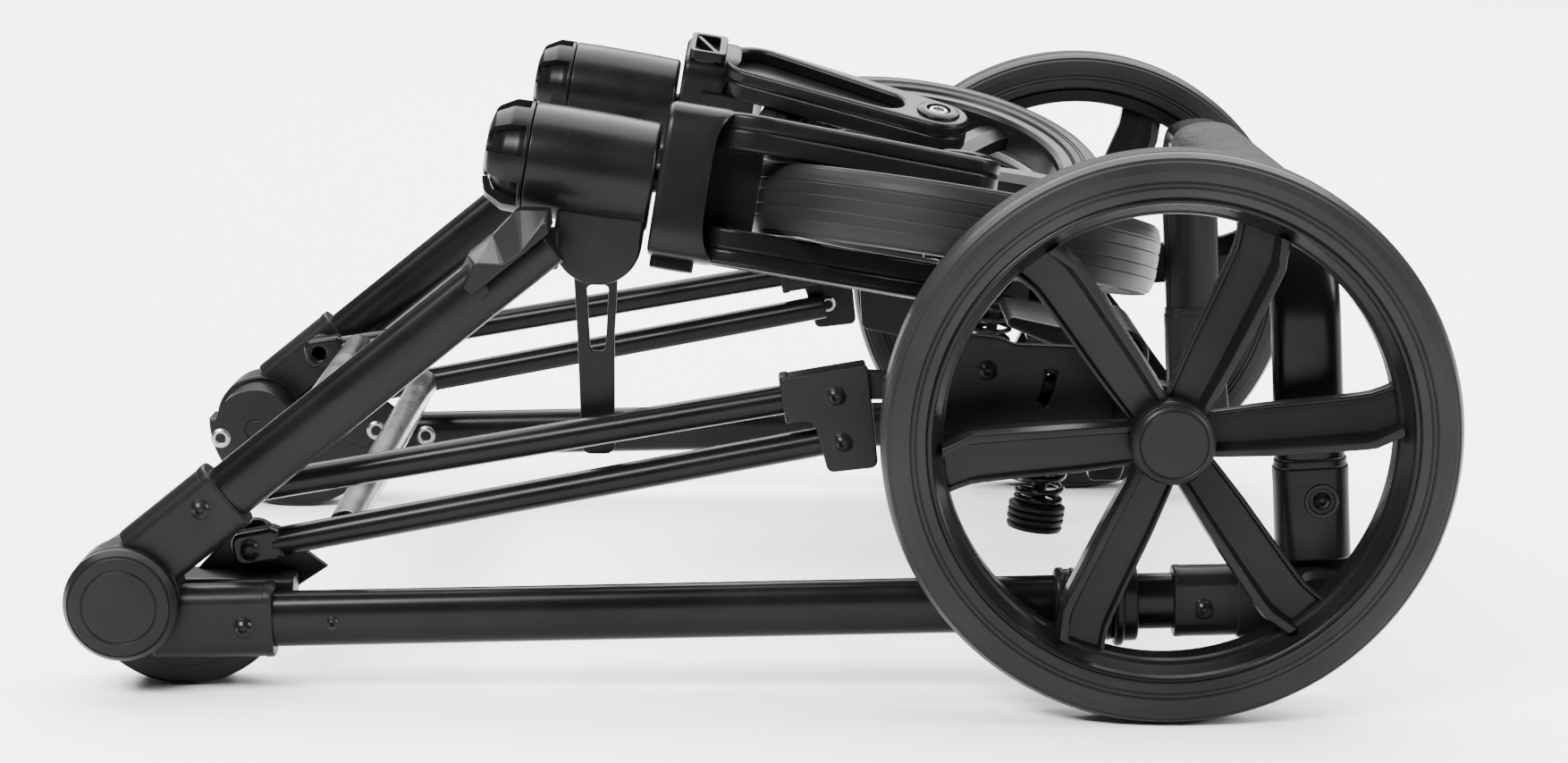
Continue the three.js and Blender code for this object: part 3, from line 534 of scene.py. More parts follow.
def swivel(side, s):
    """The caster's swivel: its barrel with the flap, and its cap with six raised strips."""
    place = swivel_frame(s)
    r = SWIVEL_RADIUS
    barrel = lathe(fillet([(9, -SWIVEL_HALF), (r - 0.4, -SWIVEL_HALF), (r, -18), (r - 0.2, 10),
                           (r - 0.9, SWIVEL_HALF), (9, SWIVEL_HALF)],
                          [0, 1.2, 0, 0, 2.6, 0], 4), 96)
    flap = hull(circle(FLAP, FLAP_RADIUS, 64) + [(-15.5, -6), (FLAP[0] + FLAP_RADIUS, -6)])
    housing = joined(placed(barrel, place @ ALONG_X),
                     placed(plate(flap, s * 8, s * 20, 2.6, steps=4), place))
    piece(f"swivel_barrel_{side}", housing, "gloss_moulding", "front_frame",
          [f"swivel_housing_{side}"])

    dome = lathe(fillet([(0, 0), (25.4, 0), (25.4, 6), (21.8, 15.5), (13, 20.4), (0, 21.4)],
                        [0, .5, 8, 9, 6, 0], 8, closed=False), 72)
    foot = lathe(fillet([(0, 0), (r - 0.1, 0), (r - 0.1, 2.4), (0, 2.4)],
                        [0, .8, .8, 0], 3, closed=False), 96)
    strip = fillet([(24, 1.8), (r - 0.1, 1.8), (r - 0.3, 10.5), (24.6, 20.4), (15.5, 22.9),
                    (15.2, 20.4), (22.5, 16.8)], [0, .3, 5, 6, .8, .4, 2], 5)
    strips = [lathe(strip, 8, sweep=27, start=60 * k + 39.5) for k in range(6)]
    top = lathe(fillet([(0, 18), (13.4, 18), (13.4, 22.4), (11.6, 23), (0, 23)],
                       [0, 0, .8, .8, 0], 3, closed=False), 48)
    on_barrel = Matrix.Translation((-SWIVEL_HALF - 0.3, 0, 0)) @ Matrix.Rotation(math.pi, 4, "Z")
    cap = placed(joined(dome, foot, *strips, top), place @ on_barrel @ ALONG_X)
    piece(f"swivel_dome_{side}", cap, "gloss_moulding", "front_frame", [f"swivel_cap_{side}"])


# ---- casters ------------------------------------------------------------------------------------

def spoke(reach, hub, width, depth, turn, kink):
    """A moulded spoke: a flat web whose ridge along one side kinks where it meets the rim."""
    half = depth / 2
    section = [(-0.50, -0.40), (-0.50, 0.45), (-0.45, 1.0), (-0.30, 1.0), (-0.25, 0.62),
               (-0.20, 0.10), (0.44, -0.02), (0.48, 0.24), (0.56, 0.22), (0.56, -0.40),
               (0.1, -0.62), (-0.3, -0.62)]
    section = fillet([(q * width, h * half) for q, h in section], 0.7, 2)
    rings = []
    inner = hub - 3
    # Each stop: share of the reach, share of the kink, scale of the width and of the depth.
    stops = ((0.0, 0.0, 0.86, 0.72), (0.06, 0.0, 0.90, 0.80), (0.3, 0.0, 1.0, 0.95),
             (0.6, 0.0, 1.04, 1.0), (0.80, 0.04, 1.08, 1.0), (0.86, 0.12, 1.1, 1.0),
             (0.93, 0.55, 1.14, 1.02), (0.985, 0.92, 1.2, 1.04), (1.0, 1.0, 1.2, 1.04))
    for share, drift, wide, deep in stops:
        r = inner + (reach - inner) * share
        ring = []
        for q, h in section:
            ridge = max(0.0, min(1.0, 1 - abs(q / width + 0.38) / 0.30))
            ring.append((r, q * wide + drift * kink * (0.35 + 0.65 * ridge), h * deep))
        rings.append(ring)
    return placed(skin(rings), Matrix.Rotation(turn, 4, "Z"))


def wheel(radius, half, seat, inner, hub, bore, grooves):
    """A tyre and a spoked rim about +Z, with +Z out of the wheel's face.

    half is half the width. The tyre sits on the rim at radius seat, the rim is open from
    inner to hub, and grooves are the places of the tread's grooves, as shares of half.
    """
    t = radius - seat
    side = [(seat + share * t, half - down) for share, down in (
        (0.01, 3.4), (0.07, 1.2), (0.24, 0.35), (0.255, 1.2), (0.285, 1.2), (0.30, 0.25),
        (0.345, 0.2), (0.36, 1.1), (0.39, 1.1), (0.405, 0.1), (0.62, 0), (0.80, 0.7),
        (0.83, 2.0), (0.86, 2.1), (0.885, 2.0))]
    side += [(radius - 1.0, half - 5.6), (radius - 0.2, half - 8.4)]
    tread = []
    for groove in grooves:
        tread += [(radius, groove * half + 0.8), (radius - 0.45, groove * half + 0.35),
                  (radius - 0.45, groove * half - 0.35), (radius, groove * half - 0.8)]
    far_side = [(r, -h) for r, h in reversed(side)]
    profile = [(seat - 0.4, 12)] + side + tread + far_side + [(seat - 0.4, -12)]
    tyre = lathe(fillet(profile, 0.5, 2), 144)

    lip = half - 2.6
    rim_profile = fillet([
        (inner, -11), (inner + 0.6, -14), (inner + 3, -lip), (seat - 0.8, -lip),
        (seat - 0.8, lip - 1.6), (seat + 1.2, lip), (seat - 0.4, lip + 1.2),
        (seat - 1.8, lip + 0.4), (seat - 2.6, lip - 2.4),
        (inner + 2.6, lip - 8.5), (inner + 0.8, lip - 10.5), (inner, lip - 13),
    ], [2, 2, 1, 0, 0, .5, .8, .5, .8, 1, 1.5, 2], 3)
    hub_profile = fillet([(bore, -half + 2), (hub - 3, -half + 2), (hub, -half + 7),
                          (hub, half - 4), (hub - 1.4, half - 2), (bore, half - 2)],
                         [0, 1, 2, 1, 1, 0], 4)
    shells = [lathe(rim_profile, 144), lathe(hub_profile, 72)]
    scale = radius / REAR_RADIUS
    for k in range(SPOKES):
        turn = 2 * math.pi * k / SPOKES
        shells.append(spoke(inner + 1.5, hub, 25 * scale, 2 * half - 11, turn, 8.5 * scale))
    return tyre, joined(*shells)


def crown(high):
    """The fork's collar: a cuff along +X, whose open end reaches further beside the wheel."""
    # Each stop: its place along X, share of the flare, and size.
    stops = ((36, 0, 0.93), (37.2, 0, 0.975), (39.5, 0, 1.0), (63, 1, 1.0), (66.4, 1, 0.99),
             (68, 1, 0.965), (67.6, 1, 0.93), (66, 0.9, 0.905), (56, 0.4, 0.88))
    rings = []
    for along, flare, size in stops:
        ring = []
        for k in range(96):
            angle = 2 * math.pi * k / 96
            c, q = math.cos(angle), math.sin(angle)
            back = math.copysign(abs(c) ** 0.5, c)
            up = math.copysign(abs(q) ** 0.42, q)
            reach = flare * (9 * abs(up) ** 5 - 5)
            ring.append((along + reach, -2.8 + 26.4 * size * back, high * size * up))
        rings.append(ring)
    return skin(rings)


def facing(sign, distance):
    """A frame on the Z axis, at a distance to the side of sign, with its +Z pointing outwards."""
    turn = Matrix.Identity(4) if sign > 0 else Matrix.Rotation(math.pi, 4, "X")
    return turn @ Matrix.Translation((0, 0, distance))


def caster(side, s):
    """The fork, which turns about the swivel's axis, its axle bolt and its wheel."""
    place = swivel_frame(s) @ Matrix.Rotation(math.radians(CASTER_TURN[side]), 4, "X")
    body = f"caster_{side}"

    def layer(outline, low, top, bevel, holes=()):
        return placed(prism(outline, low, top, bevel, holes, 4), place)

    arm = hull(circle((84, 3), 25.5, 64) + circle((AXLE_ALONG, AXLE_TRAIL), 20, 64))
    window = hull(circle((84, 4), 19.5, 40) + circle((166, 33), 12.5, 32))
    clear = FRONT_RADIUS + 3.5
    web = [(AXLE_ALONG - math.sqrt(clear ** 2 - (AXLE_TRAIL - y) ** 2), y)
           for y in range(2, 27, 4)]
    shells = [placed(crown(FORK_HIGH), place), layer([(50, 2)] + web + [(50, 26)], -22, 22, 0.8)]
    centre = place @ Matrix.Translation((AXLE_ALONG, AXLE_TRAIL, 0))
    boss = lathe(fillet([(7.6, 0), (15, 0), (13.6, 5.2), (11, 6.2), (7.6, 6.2)],
                        [0, 1, 1.6, 1, .6], 4), 48)
    for outwards in (-1, 1):
        pocket_floor = sorted((outwards * ARM_INNER, outwards * (ARM_OUTER - 8)))
        pocket_frame = sorted((outwards * (ARM_OUTER - 9), outwards * (ARM_OUTER + 0.6)))
        shells.append(layer(arm, *pocket_floor, 2.0))
        shells.append(layer(arm, *pocket_frame, 2.8, [window]))
        shells.append(placed(boss, centre @ facing(outwards, ARM_OUTER - 3)))
    lip = fillet([(38.4, -14), (62, -14), (62, 20), (38.4, 20)], 4, 4)
    recess = fillet([(42, -9.5), (57, -9.5), (57, 16.5), (42, 16.5)], 2, 3)
    rib = [(42, -9.5), (44, -9.5), (57, 14.5), (57, 16.5), (55, 16.5), (42, -7.5)]
    shells.append(layer(lip, -FORK_HIGH - 5.4, -FORK_HIGH + 1, 1.0, [recess]))
    shells.append(layer(rib, -FORK_HIGH - 4.6, -FORK_HIGH + 1, 0.4))
    shells.append(placed(pin(8, -15, 40, 40), place @ ALONG_X))
    piece(f"caster_fork_{side}", joined(*shells), "gloss_moulding", body, [f"fork_{side}"])

    head = lathe(fillet([(0, -1), (7.0, -1), (7.0, 1.4), (5.6, 2.6), (3.6, 2.8), (3.2, 1.2),
                         (0, 1)], [0, .2, 1, .6, .3, .2, 0], 3, closed=False), 40)
    bolt = joined(pin(6, -ARM_OUTER, ARM_OUTER), placed(head, facing(-1, ARM_OUTER)),
                  placed(head, facing(1, ARM_OUTER)))
    piece(f"caster_bolt_{side}", placed(bolt, centre), "bare_metal", body,
          [f"front_axle_bolt_{side}"])

    tyre, rim = wheel(FRONT_RADIUS, half=19.5, seat=93, inner=83, hub=17, bore=6.4,
                      grooves=(0.52, 0.2, -0.2, -0.52))
    body = f"front_wheel_{side}"
    piece(f"caster_tyre_{side}", placed(tyre, centre), "tyre", body, [f"front_tyre_{side}"])
    piece(f"caster_rim_{side}", placed(rim, centre), "gloss_moulding", body,
          [f"front_rim_{side}"])


# ---- handle -------------------------------------------------------------------------------------

def handle(side, s):
    """One side of the handle: tube, sockets, hinge plate, elbow and release collar."""
    def along_handle(section, start, length, bevel=1.0, y=s * TUBE_Y):
        return bar(section, handle_axis(start, HANDLE_OFFSET), HANDLE_ANGLE, length, y, bevel)

    tube = along_handle(tube_section(TUBE_WIDE, TUBE_TALL), 44, 542)
    piece(f"handle_side_tube_{side}", tube, "black_tube", "handle", [f"handle_tube_{side}"])

    disc = lathe(fillet([(7, 0), (30.6, 0), (30.6, 12.4), (7, 12.4)], [0, 2, 1, 0], 4), 96)
    socket = joined(along_handle(rounded_box(23.6, 39, 9), 14, HANDLE_SOCKET_END - 14, 1.4),
                    along_handle(rounded_box(24, 40, 9.4), HANDLE_SOCKET_END - 5, 5.4, 1.2),
                    placed(disc, across(*HINGE, s * SOCKET_IN, s)))
    piece(f"handle_hinge_socket_{side}", socket, "black_moulding", "handle",
          [f"handle_socket_{side}"])

    top_edge = 60.5                    # of the plate at X -400, rising by 1 in 100
    foot = [(x, z) for x, z in circle(PLATE_MIDDLE, PLATE_RADIUS, 120)
            if z < top_edge + (x + 400) * 0.01]
    lobe = hull(circle(DRAG_LINK_PIVOT, 13, 40) + [(-232, 60), (-262, 40), (-305, 56)])
    ridge = lathe(fillet([(48, 0), (50.5, 0), (50.5, 0.7), (48, 0.7)], .3, 2), 96,
                  sweep=176, start=92 - 90 * s)
    barrel = lathe(fillet([(6.5, 0), (27, 0), (27, 30.4), (6.5, 30.4)], 1, 3), 64)
    shells = joined(plate(foot, s * 200, s * 229.6, 2.4, steps=4),
                    plate(lobe, s * 199, s * 206.7, 1.6),
                    placed(barrel, across(*HINGE, s * 199.2, s)),
                    placed(ridge, across(*PLATE_MIDDLE, s * 229.2, s)),
                    placed(pin(3.7, 0, 18, 24), across(*DRAG_LINK_PIVOT, s * 206, s)))
    piece(f"hinge_side_plate_{side}", shells, "black_moulding", "handle",
          [f"hinge_plate_{side}"])

    hardware = joined(screw(-270.6, 38.0, s * SOCKET_OUT, s, 4.9),
                      screw(-223.4, 40.6, s * 252, s, 2.9, 2.0),
                      screw(238.8, 51.4, s * SOCKET_OUT, s, 4.6))
    piece(f"handle_screws_{side}", hardware, "spring_steel", "handle")
    rings = joined(eyelet(-357, 46.2, s * 200, -s), eyelet(-253.2, 52, s * 200, -s),
                   eyelet(-223.9, 42, s * 232.2, -s))
    piece(f"handle_eyelets_{side}", rings, "bare_metal", "handle")

    knuckle = lathe(fillet([(0, 0), (21, 0), (21, 10), (16, 12.6), (12.6, 12.9), (12, 12.2),
                            (0, 12.4)], [0, .6, 3, 2, .3, .3, 0], 4, closed=False), 80)
    elbow = joined(along_handle(rounded_box(23.8, 37.4, 9), 558, 48, 1.4),
                   along_handle(rounded_box(24, 38, 9.4), 557, 5, 1.2),
                   along_handle(rounded_box(11, 38, 5), 590, 43, 1.6, s * 248.6),
                   placed(knuckle, across(*ELBOW, s * (SOCKET_SPLIT + 0.3), s)),
                   placed(pin(7, 0, 20), across(*ELBOW, s * 226, s)))
    piece(f"elbow_{side}", elbow, "black_moulding", "handle", [f"elbow_socket_{side}"])

    # Each step of the collar: start, length, width, height, radius of its edges.
    steps = ((494, 44, 26.4, 36.4, 1.2), (494.4, 5, 28, 38, 1.5), (502, 3, 27.6, 37.6, 1.2),
             (508, 3, 27.6, 37.6, 1.2), (514, 3, 27.6, 37.6, 1.2), (519, 6, 29.5, 40.5, 1.8),
             (525, 5.5, 36, 47, 2.2), (529, 9, 31, 42, 2))
    collar = joined(*(along_handle(oval(wide, tall), start, length, edge)
                      for start, length, wide, tall, edge in steps))
    piece(f"release_collar_{side}", collar, "black_moulding", f"release_{side}",
          [f"release_sleeve_{side}"])


def grip():
    """The grip's two sockets, the bow between them and the wrapped cover on it."""
    for side, s in SIDES:
        y = s * TUBE_Y
        knuckle = hull(circle(ELBOW, 20.8, 64) + [grip_axis(30, -19.5), grip_axis(30, 19.5)])
        socket = joined(bar(rounded_box(23.8, 39.6, 9.4), grip_axis(25, 0), GRIP_LEAN, 46, y, 1.6),
                        bar(rounded_box(24, 40, 9.8), grip_axis(66, 0), GRIP_LEAN, 10, y, 1.8),
                        bar(oval(22.6, 38.6), grip_axis(74, 0), GRIP_LEAN, 6, y, 1.5),
                        plate(knuckle, s * SOCKET_IN, s * SOCKET_SPLIT, 2.4, steps=4))
        piece(f"grip_arm_socket_{side}", socket, "black_moulding", "grip",
              [f"grip_socket_{side}"])
        ring = lathe(fillet([(6.4, -0.5), (9.4, -0.5), (9.0, 1.0), (7.2, 1.0)], .4, 3), 40)
        hardware = joined(screw(*GRIP_SCREW, s * 253.6, s, 4.4),
                          placed(ring, across(*GRIP_SCREW, s * 253.8, s)))
        piece(f"grip_screw_{side}", hardware, "spring_steel", "grip")

    # The bow's middle line: how far it is along the grip's axis, its Y, and its direction.
    rise = (GRIP_TOP - grip_axis(GRIP_FROM, 0)[1]) / math.sin(math.radians(GRIP_LEAN))
    lean = Vector((math.cos(math.radians(GRIP_LEAN)), 0, math.sin(math.radians(GRIP_LEAN))))
    normal = Vector((lean.z, 0, -lean.x))
    path = [(0.0, -TUBE_Y, lean), (rise - GRIP_BEND, -TUBE_Y, lean)]
    steps = 14
    for k in range(1, steps):
        a = math.pi / 2 * k / steps
        path.append((rise - GRIP_BEND + GRIP_BEND * math.sin(a),
                     -TUBE_Y + GRIP_BEND * (1 - math.cos(a)),
                     lean * math.cos(a) + Vector((0, 1, 0)) * math.sin(a)))
    path.append((rise, -TUBE_Y + GRIP_BEND, Vector((0, 1, 0))))
    path += [(along, -y, Vector((-d.x, d.y, -d.z))) for along, y, d in reversed(path)]

    def on_bow(along, y):
        x, z = grip_axis(GRIP_FROM + along, 0)
        return Vector((x, y, z))

    rings = []
    for along, y, d in path:
        side_on = normal.cross(d)
        rings.append([on_bow(along, y) + normal * q + side_on * p
                      for p, q in tube_section(TUBE_WIDE, GRIP_WIDE)])
    piece("grip_bent_tube", skin(rings), "black_tube", "grip", ["grip_tube"])

    centre = on_bow(rise, 0)
    slices, rounded_end, growth = 40, 5.0, 7.6
    rings = []
    for k in range(slices + 1):
        y = -COVER_HALF + 2 * COVER_HALF * k / slices
        ease = min(1.0, (COVER_HALF - abs(y)) / rounded_end)
        grow = growth * (0.7 + 0.3 * math.sqrt(ease))
        section = tube_section(TUBE_WIDE + grow, GRIP_WIDE + grow, 2.2)
        rings.append([centre + Vector((0, y, 0)) + normal * q + lean * p for p, q in section])
    stitches, seam_half = 60, COVER_HALF - 4
    seam = [centre + Vector((0, -seam_half + 2 * seam_half * k / stitches, 0)) - lean * 13.9
            + normal * 0.5 * (-1) ** k for k in range(stitches + 1)]
    piece("grip_wrap_cover", joined(skin(rings), swept(seam, 0.6, 6)), "grip_wrap", "grip",
          ["grip_cover"])


# ---- links, rear frame, suspension --------------------------------------------------------------

def link(name, start, end, side, s, extra, body, node):
    """A round link with a flattened eye at its start; extra lengthens it past its end pivot."""
    angle = slope(start, end)
    length = math.hypot(end[0] - start[0], end[1] - start[1])
    axis = axis_from(start, angle)
    eye = fillet([axis(-9.6, -9.4), axis(13, -9.4), axis(17, -7), axis(17, 7), axis(13, 9.4),
                  axis(-9.6, 9.4)], [6, 2, 2, 2, 2, 6], 5)
    bore = circle(start, 4.2, 24)
    rod = bar(circle((0, 0), 7.9, 40), axis(12, 0), angle, length - 12 + extra, s * LINK_Y)
    shells = joined(rod, plate(eye, s * (LINK_Y - 7.6), s * (LINK_Y + 7.6), 2.2, [bore], 4))
    piece(f"{name}_{side}", shells, "black_tube", body, [node])
    if name == "drag_rod":
        piece(f"drag_rod_screw_{side}", screw(*start, s * (LINK_Y + 7.4), s, 4.6),
              "spring_steel", body)


def cross_tube(name, start, end, along, body, node):
    """The tube between the two links of a pair."""
    x, z = axis_from(start, slope(start, end))(along, 0)
    tube = pipe(7.2, 9, CROSS_HALF)
    piece(name, placed(tube, across(x, z, 0, 1)), "bare_metal", body, [node])


def rear_frame(side, s):
    """The bracket at the rear link's end, and the plate that carries the wheel's arm."""
    angle = slope(REAR_LINK_PIVOT, REAR_LINK_END)
    axis = axis_from(REAR_LINK_END, angle)
    corners = ((-27, -11), (-14, -12), (-11, -41), (16, -42.5), (19.5, 13.6), (-28.6, 13.6))
    back = fillet([axis(*p) for p in corners], [3, 5, 4, 4, 3, 3], 4)
    middle = s * (LINK_Y + 0.6)
    bracket = joined(plate(back, s * 223.8, s * 228.9, 1.2),
                     bar(rounded_box(25.4, 24.6, 7), axis(-28.4, 1), angle, 46.6, middle, 1.6),
                     bar(rounded_box(26.4, 26, 7.4), axis(-28.8, 1), angle, 5, middle, 1.2))
    piece(f"link_end_bracket_{side}", bracket, "black_moulding", "rear_frame",
          [f"link_bracket_{side}"])

    outline = fillet([(67, 172), (96, 182), (104, 193), (115, 195), (130, 193), (138, 189.6),
                      (186, 188), (192, 168), (186, 128), (140, 117), (118, 127), (97, 113),
                      (70, 119)], [4, 4, 5, 6, 6, 4, 4, 6, 5, 6, 10, 5, 5], 5)
    slot = arc(ARM_PIVOT, (37, 37), range(0, -36, -4)) + arc(ARM_PIVOT, (31, 31), range(-32, 4, 4))
    spring_shelf = [(155, 172.2), (181.6, 172.2), (181.6, 179.6), (155, 179.6)]
    bracket_shelf = [(54, 158), (76, 158), (76, 171.5), (54, 173)]
    rib = fillet([(70, 121), (92, 116.5), (92, 119), (72, 124)], .8, 2)
    shells = joined(plate(outline, s * 224, s * 230.8, 1.2, [slot]),
                    plate(spring_shelf, s * 199.4, s * 224.6, 0.8),
                    plate(bracket_shelf, s * 212, s * 224.6, 0.8),
                    placed(pin(5, 0, 20), across(*ARM_PIVOT, s * 205, s)),
                    plate(rib, s * 230, s * 233, .6))
    piece(f"axle_side_plate_{side}", shells, "black_moulding", "rear_frame",
          [f"side_plate_{side}"])

    hardware = joined(screw(*UPPER_RIVET, s * 228.8, s, 4.6),
                      screw(*LOWER_RIVET, s * 228.8, s, 4.6),
                      screw(*ARM_PIVOT, s * 230.6, s, 4.8))
    piece(f"rear_frame_screws_{side}", hardware, "spring_steel", "rear_frame")
    rings = joined(eyelet(*UPPER_RIVET, s * 202.4, -s, 5.6, 2.6),
                   eyelet(*LOWER_RIVET, s * 224, -s, 5.2, 2.4))
    piece(f"rear_frame_eyelets_{side}", rings, "bare_metal", "rear_frame")


def suspension(side, s):
    """The coil spring under its shelf, and the ribbed cup with the guide rod."""
    place = (Matrix.Translation((SPRING_TOP[0], s * SPRING_TOP[1], SPRING_TOP[2]))
             @ Matrix.Rotation(math.radians(SPRING_TILT), 4, "Y")
             @ Matrix.Rotation(math.pi, 4, "X"))
    turns, closed_turns, length, radius, wire = 6.5, 0.6, 43.4, 11.8, 1.75
    coil = []
    samples = int(turns * 24)
    for k in range(samples + 1):
        share = k / samples
        climb = (share * turns - closed_turns) / (turns - 2 * closed_turns)
        height = wire + (length - 2 * wire) * min(1.0, max(0.0, climb))
        a = 2 * math.pi * turns * share
        coil.append((radius * math.cos(a), radius * math.sin(a), height))
    spring = piece(f"coil_spring_{side}", placed(swept(coil, wire, 10), place), "spring_steel",
                   "rear_frame", [f"suspension_spring_{side}"])
    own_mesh(spring)
    cup = [(0, 43.6), (12.5, 43.6), (14, 44.4)]
    for z in (45.2, 48.6, 52.0):
        cup += [(15.4, z), (15.4, z + 1.9), (14.0, z + 2.3), (14.0, z + 3.0)]
    cup += [(15.2, 56.4), (14.6, 58.6), (0, 58.9)]
    seat = joined(lathe(fillet(cup, 0.5, 2, closed=False), 56), pin(3.9, -28, 46))
    piece(f"spring_seat_{side}", placed(seat, place), "spring_rubber", "rear_frame",
          [f"spring_cup_{side}"])


def swing_arm(side, s):
    """The sprung arm from its pivot, round the knee, to the rear axle."""
    low, high = s * 206.4, s * 223.2
    front = hull(circle(ARM_PIVOT, 12, 40) + circle(ARM_KNEE, 11, 40))
    back = hull(circle(ARM_KNEE, 11, 40) + circle(REAR_AXLE, 17, 48))
    heel = fillet([(179, 114), (196, 114), (206, 150), (178, 150)], 3, 3)
    shells = joined(plate(front, low, high, 2.2, [circle(ARM_PIVOT, 5.6, 24)], 4),
                    plate(back, low, high, 2.2, [circle(REAR_AXLE, 11.4, 32)], 4),
                    plate(heel, low, high, 1.8))
    piece(f"wheel_arm_{side}", shells, "black_moulding", "axle_carrier", [f"swing_arm_{side}"])


def rear_wheel(side, s):
    """A rear wheel: tyre, rim and plain hub cap."""
    place = across(*REAR_AXLE, s * REAR_MIDDLE, s)
    tyre, rim = wheel(REAR_RADIUS, half=18.5, seat=126, inner=117, hub=22, bore=7.4,
                      grooves=(0.5, 0.18, -0.18, -0.5))
    mirrored = Matrix.Diagonal((1, -s, 1, 1))
    spun = Matrix.Rotation(math.radians(-REAR_TURN * s), 4, "Z")
    body = f"rear_wheel_{side}"
    piece(f"wheel_tyre_{side}", placed(tyre, place), "tyre", body, [f"rear_tyre_{side}"])
    rim = placed(rim, place @ spun @ mirrored)
    piece(f"wheel_rim_{side}", rim, "gloss_moulding", body, [f"rear_rim_{side}"])
    cap = lathe(fillet([(0, 0.2), (19.8, 0.2), (19.8, 1.0), (18.4, 2.0), (17.6, 1.3), (16.9, 2.3),
                        (9, 2.5), (0, 2.5)], [0, .3, .4, .3, .3, .3, 2, 0], 3, closed=False), 96)
    cap = placed(cap, across(*REAR_AXLE, s * (REAR_MIDDLE + 16.5), s))
    piece(f"wheel_hub_cap_{side}", cap, "black_moulding", body, [f"rear_hub_cap_{side}"])


def middle_pieces():
    """The pieces that there is only one of, apart from the grip."""
    tube = placed(pipe(5.4, 7, 195.6), across(*CROSS_BAR, 0, 1))
    piece("front_cross_bar", tube, "black_tube", "front_frame", ["front_cross_tube"])
    cross_tube("drag_cross_bar", DRAG_LINK_PIVOT, DRAG_LINK_END, along=50,
               body="drag_links", node="drag_cross_tube")
    cross_tube("rear_cross_bar", REAR_LINK_PIVOT, REAR_LINK_END, along=27,
               body="rear_frame", node="rear_cross_tube")
    axle = lathe(fillet([(0, -AXLE_HALF), (7, -AXLE_HALF), (7, -AXLE_SHOULDER),
                         (11, -AXLE_SHOULDER), (11, AXLE_SHOULDER), (7, AXLE_SHOULDER),
                         (7, AXLE_HALF), (0, AXLE_HALF)],
                        [0, 1, 0, 1, 1, 0, 1, 0], 3, closed=False), 48)
    piece("rear_axle_tube", placed(axle, across(*REAR_AXLE, 0, 1)), "black_tube", "axle_carrier",
          ["rear_axle"])

    paddle = fillet([(207, 160), (150, 172), (146.8, 166), (203, 143)], 3, 4)
    collar = lathe(fillet([(11.5, -45), (16, -45), (16, 45), (11.5, 45)], 1.5, 3), 56)
    pedal = joined(placed(collar, across(*REAR_AXLE, 0, 1)), plate(paddle, -38, 38, 2.2, steps=4))
    piece("brake_foot_pedal", pedal, "black_moulding", "brake", ["brake_pedal"])

    strap = fillet([(-98, 222), (-96, 185), (-94, 121), (-76, 121), (-76, 185), (-74, 222)],
                   [0, 8, 5, 5, 8, 0], 4)
    crest = arc(CROSS_BAR, (12, 10.4), range(-8, 190, 12))
    window = fillet([(-89, 178), (-81, 178), (-79, 214), (-91, 214)], 2.5, 3)
    hook = plate(strap + crest, -190.1, -193.9, 0.9, [window, circle(CROSS_BAR, 7.4)])
    piece("storage_hook", hook, "black_moulding", "storage_latch", ["storage_latch"])


for label, to_side in SIDES:
    front_frame(label, to_side)
    swivel(label, to_side)
    caster(label, to_side)
    handle(label, to_side)
    link("drag_rod", DRAG_LINK_PIVOT, DRAG_LINK_END, label, to_side, extra=-2,
         body="drag_links", node=f"drag_link_{label}")
    link("rear_rod", REAR_LINK_PIVOT, REAR_LINK_END, label, to_side, extra=12,
         body="rear_frame", node=f"rear_link_{label}")
    rear_frame(label, to_side)
    suspension(label, to_side)
    swing_arm(label, to_side)
    rear_wheel(label, to_side)
grip()
middle_pieces()


# ---- studio -------------------------------------------------------------------------------------

FLOOR_HALF, FLOOR_LEVEL = 14.0, -0.0006    # metres, just below the tyres and the handle
FLOOR_TONE, FLOOR_ROUGHNESS = 0.93, 0.9
AMBIENT = 0.12
CAMERA_AT, SENSOR, LENS = (0.0057, -1.930, 0.493), 36, 74.9
CAMERA_HEADING, CAMERA_PITCH, CAMERA_ROLL = -0.33, 79.2, 0.38
NEAR_CLIP, FAR_CLIP = 0.05, 60


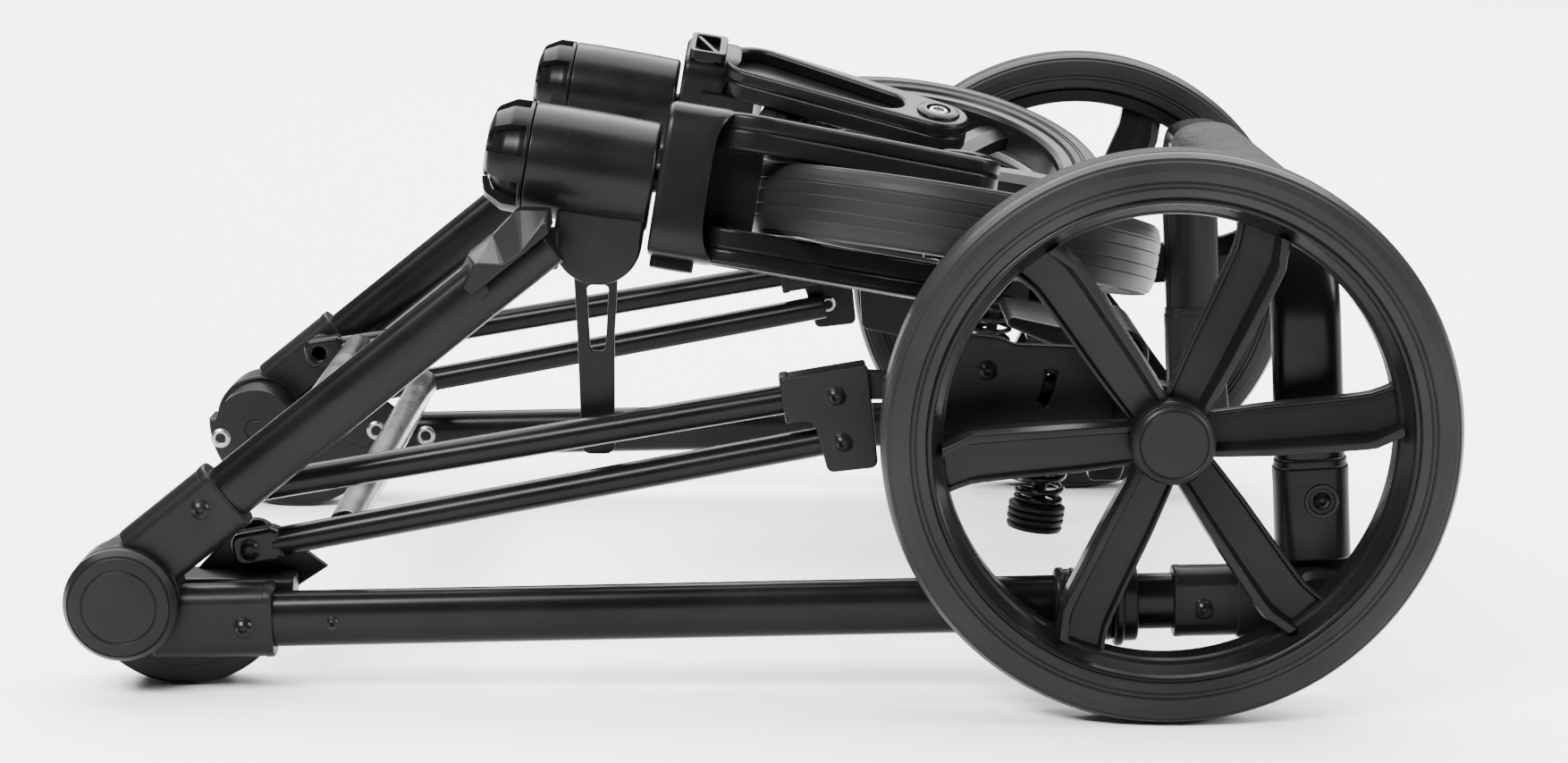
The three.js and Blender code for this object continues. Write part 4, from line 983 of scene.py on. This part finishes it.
def floor():
    """A matt floor that only the pictures have."""
    mesh = bpy.data.meshes.new("studio_floor")
    half = FLOOR_HALF
    corners = [(-half, -half, 0), (half, -half, 0), (half, half, 0), (-half, half, 0)]
    mesh.from_pydata(corners, [], [(0, 1, 2, 3)])
    mat = bpy.data.materials.new("studio_floor")
    mat.use_nodes = True
    shader = mat.node_tree.nodes["Principled BSDF"]
    shader.inputs["Base Color"].default_value = (FLOOR_TONE, FLOOR_TONE, FLOOR_TONE, 1)
    shader.inputs["Roughness"].default_value = FLOOR_ROUGHNESS
    mesh.materials.append(mat)
    obj = bpy.data.objects.new("studio_floor", mesh)
    bpy.context.scene.collection.objects.link(obj)
    obj.location.z = FLOOR_LEVEL


def softbox(name, place, target, width, height, energy):
    """A rectangular lamp that faces a point."""
    light = bpy.data.lights.new(name, "AREA")
    light.shape = "RECTANGLE"
    light.size, light.size_y, light.energy = width, height, energy
    obj = bpy.data.objects.new(name, light)
    obj.location = place
    obj.rotation_euler = (Vector(target) - Vector(place)).to_track_quat("-Z", "Y").to_euler()
    bpy.context.scene.collection.objects.link(obj)


floor()
softbox("top_box", place=(0.0, 3.4, 4.4), target=(0.0, 3.0, 0), width=9.0, height=8.0,
        energy=2600)
softbox("key_box", place=(-1.5, -2.4, 2.5), target=(0, 0, 0.1), width=2.0, height=0.8,
        energy=330)
softbox("side_box", place=(2.6, -1.0, 1.6), target=(0.1, 0, 0.15), width=0.6, height=1.8,
        energy=120)

world = bpy.context.scene.world or bpy.data.worlds.new("studio")
bpy.context.scene.world = world
world.use_nodes = True
backdrop = world.node_tree.nodes["Background"]
backdrop.inputs["Color"].default_value = (1, 1, 1, 1)
backdrop.inputs["Strength"].default_value = AMBIENT

camera = bpy.data.objects.new("camera", bpy.data.cameras.new("camera"))
bpy.context.scene.collection.objects.link(camera)
camera.data.sensor_width = SENSOR
camera.data.lens = LENS
camera.data.clip_start, camera.data.clip_end = NEAR_CLIP, FAR_CLIP
camera.matrix_world = (Matrix.Translation(CAMERA_AT)
                       @ Matrix.Rotation(math.radians(CAMERA_HEADING), 4, "Z")
                       @ Matrix.Rotation(math.radians(CAMERA_PITCH), 4, "X")
                       @ Matrix.Rotation(math.radians(CAMERA_ROLL), 4, "Z"))
bpy.context.scene.camera = camera
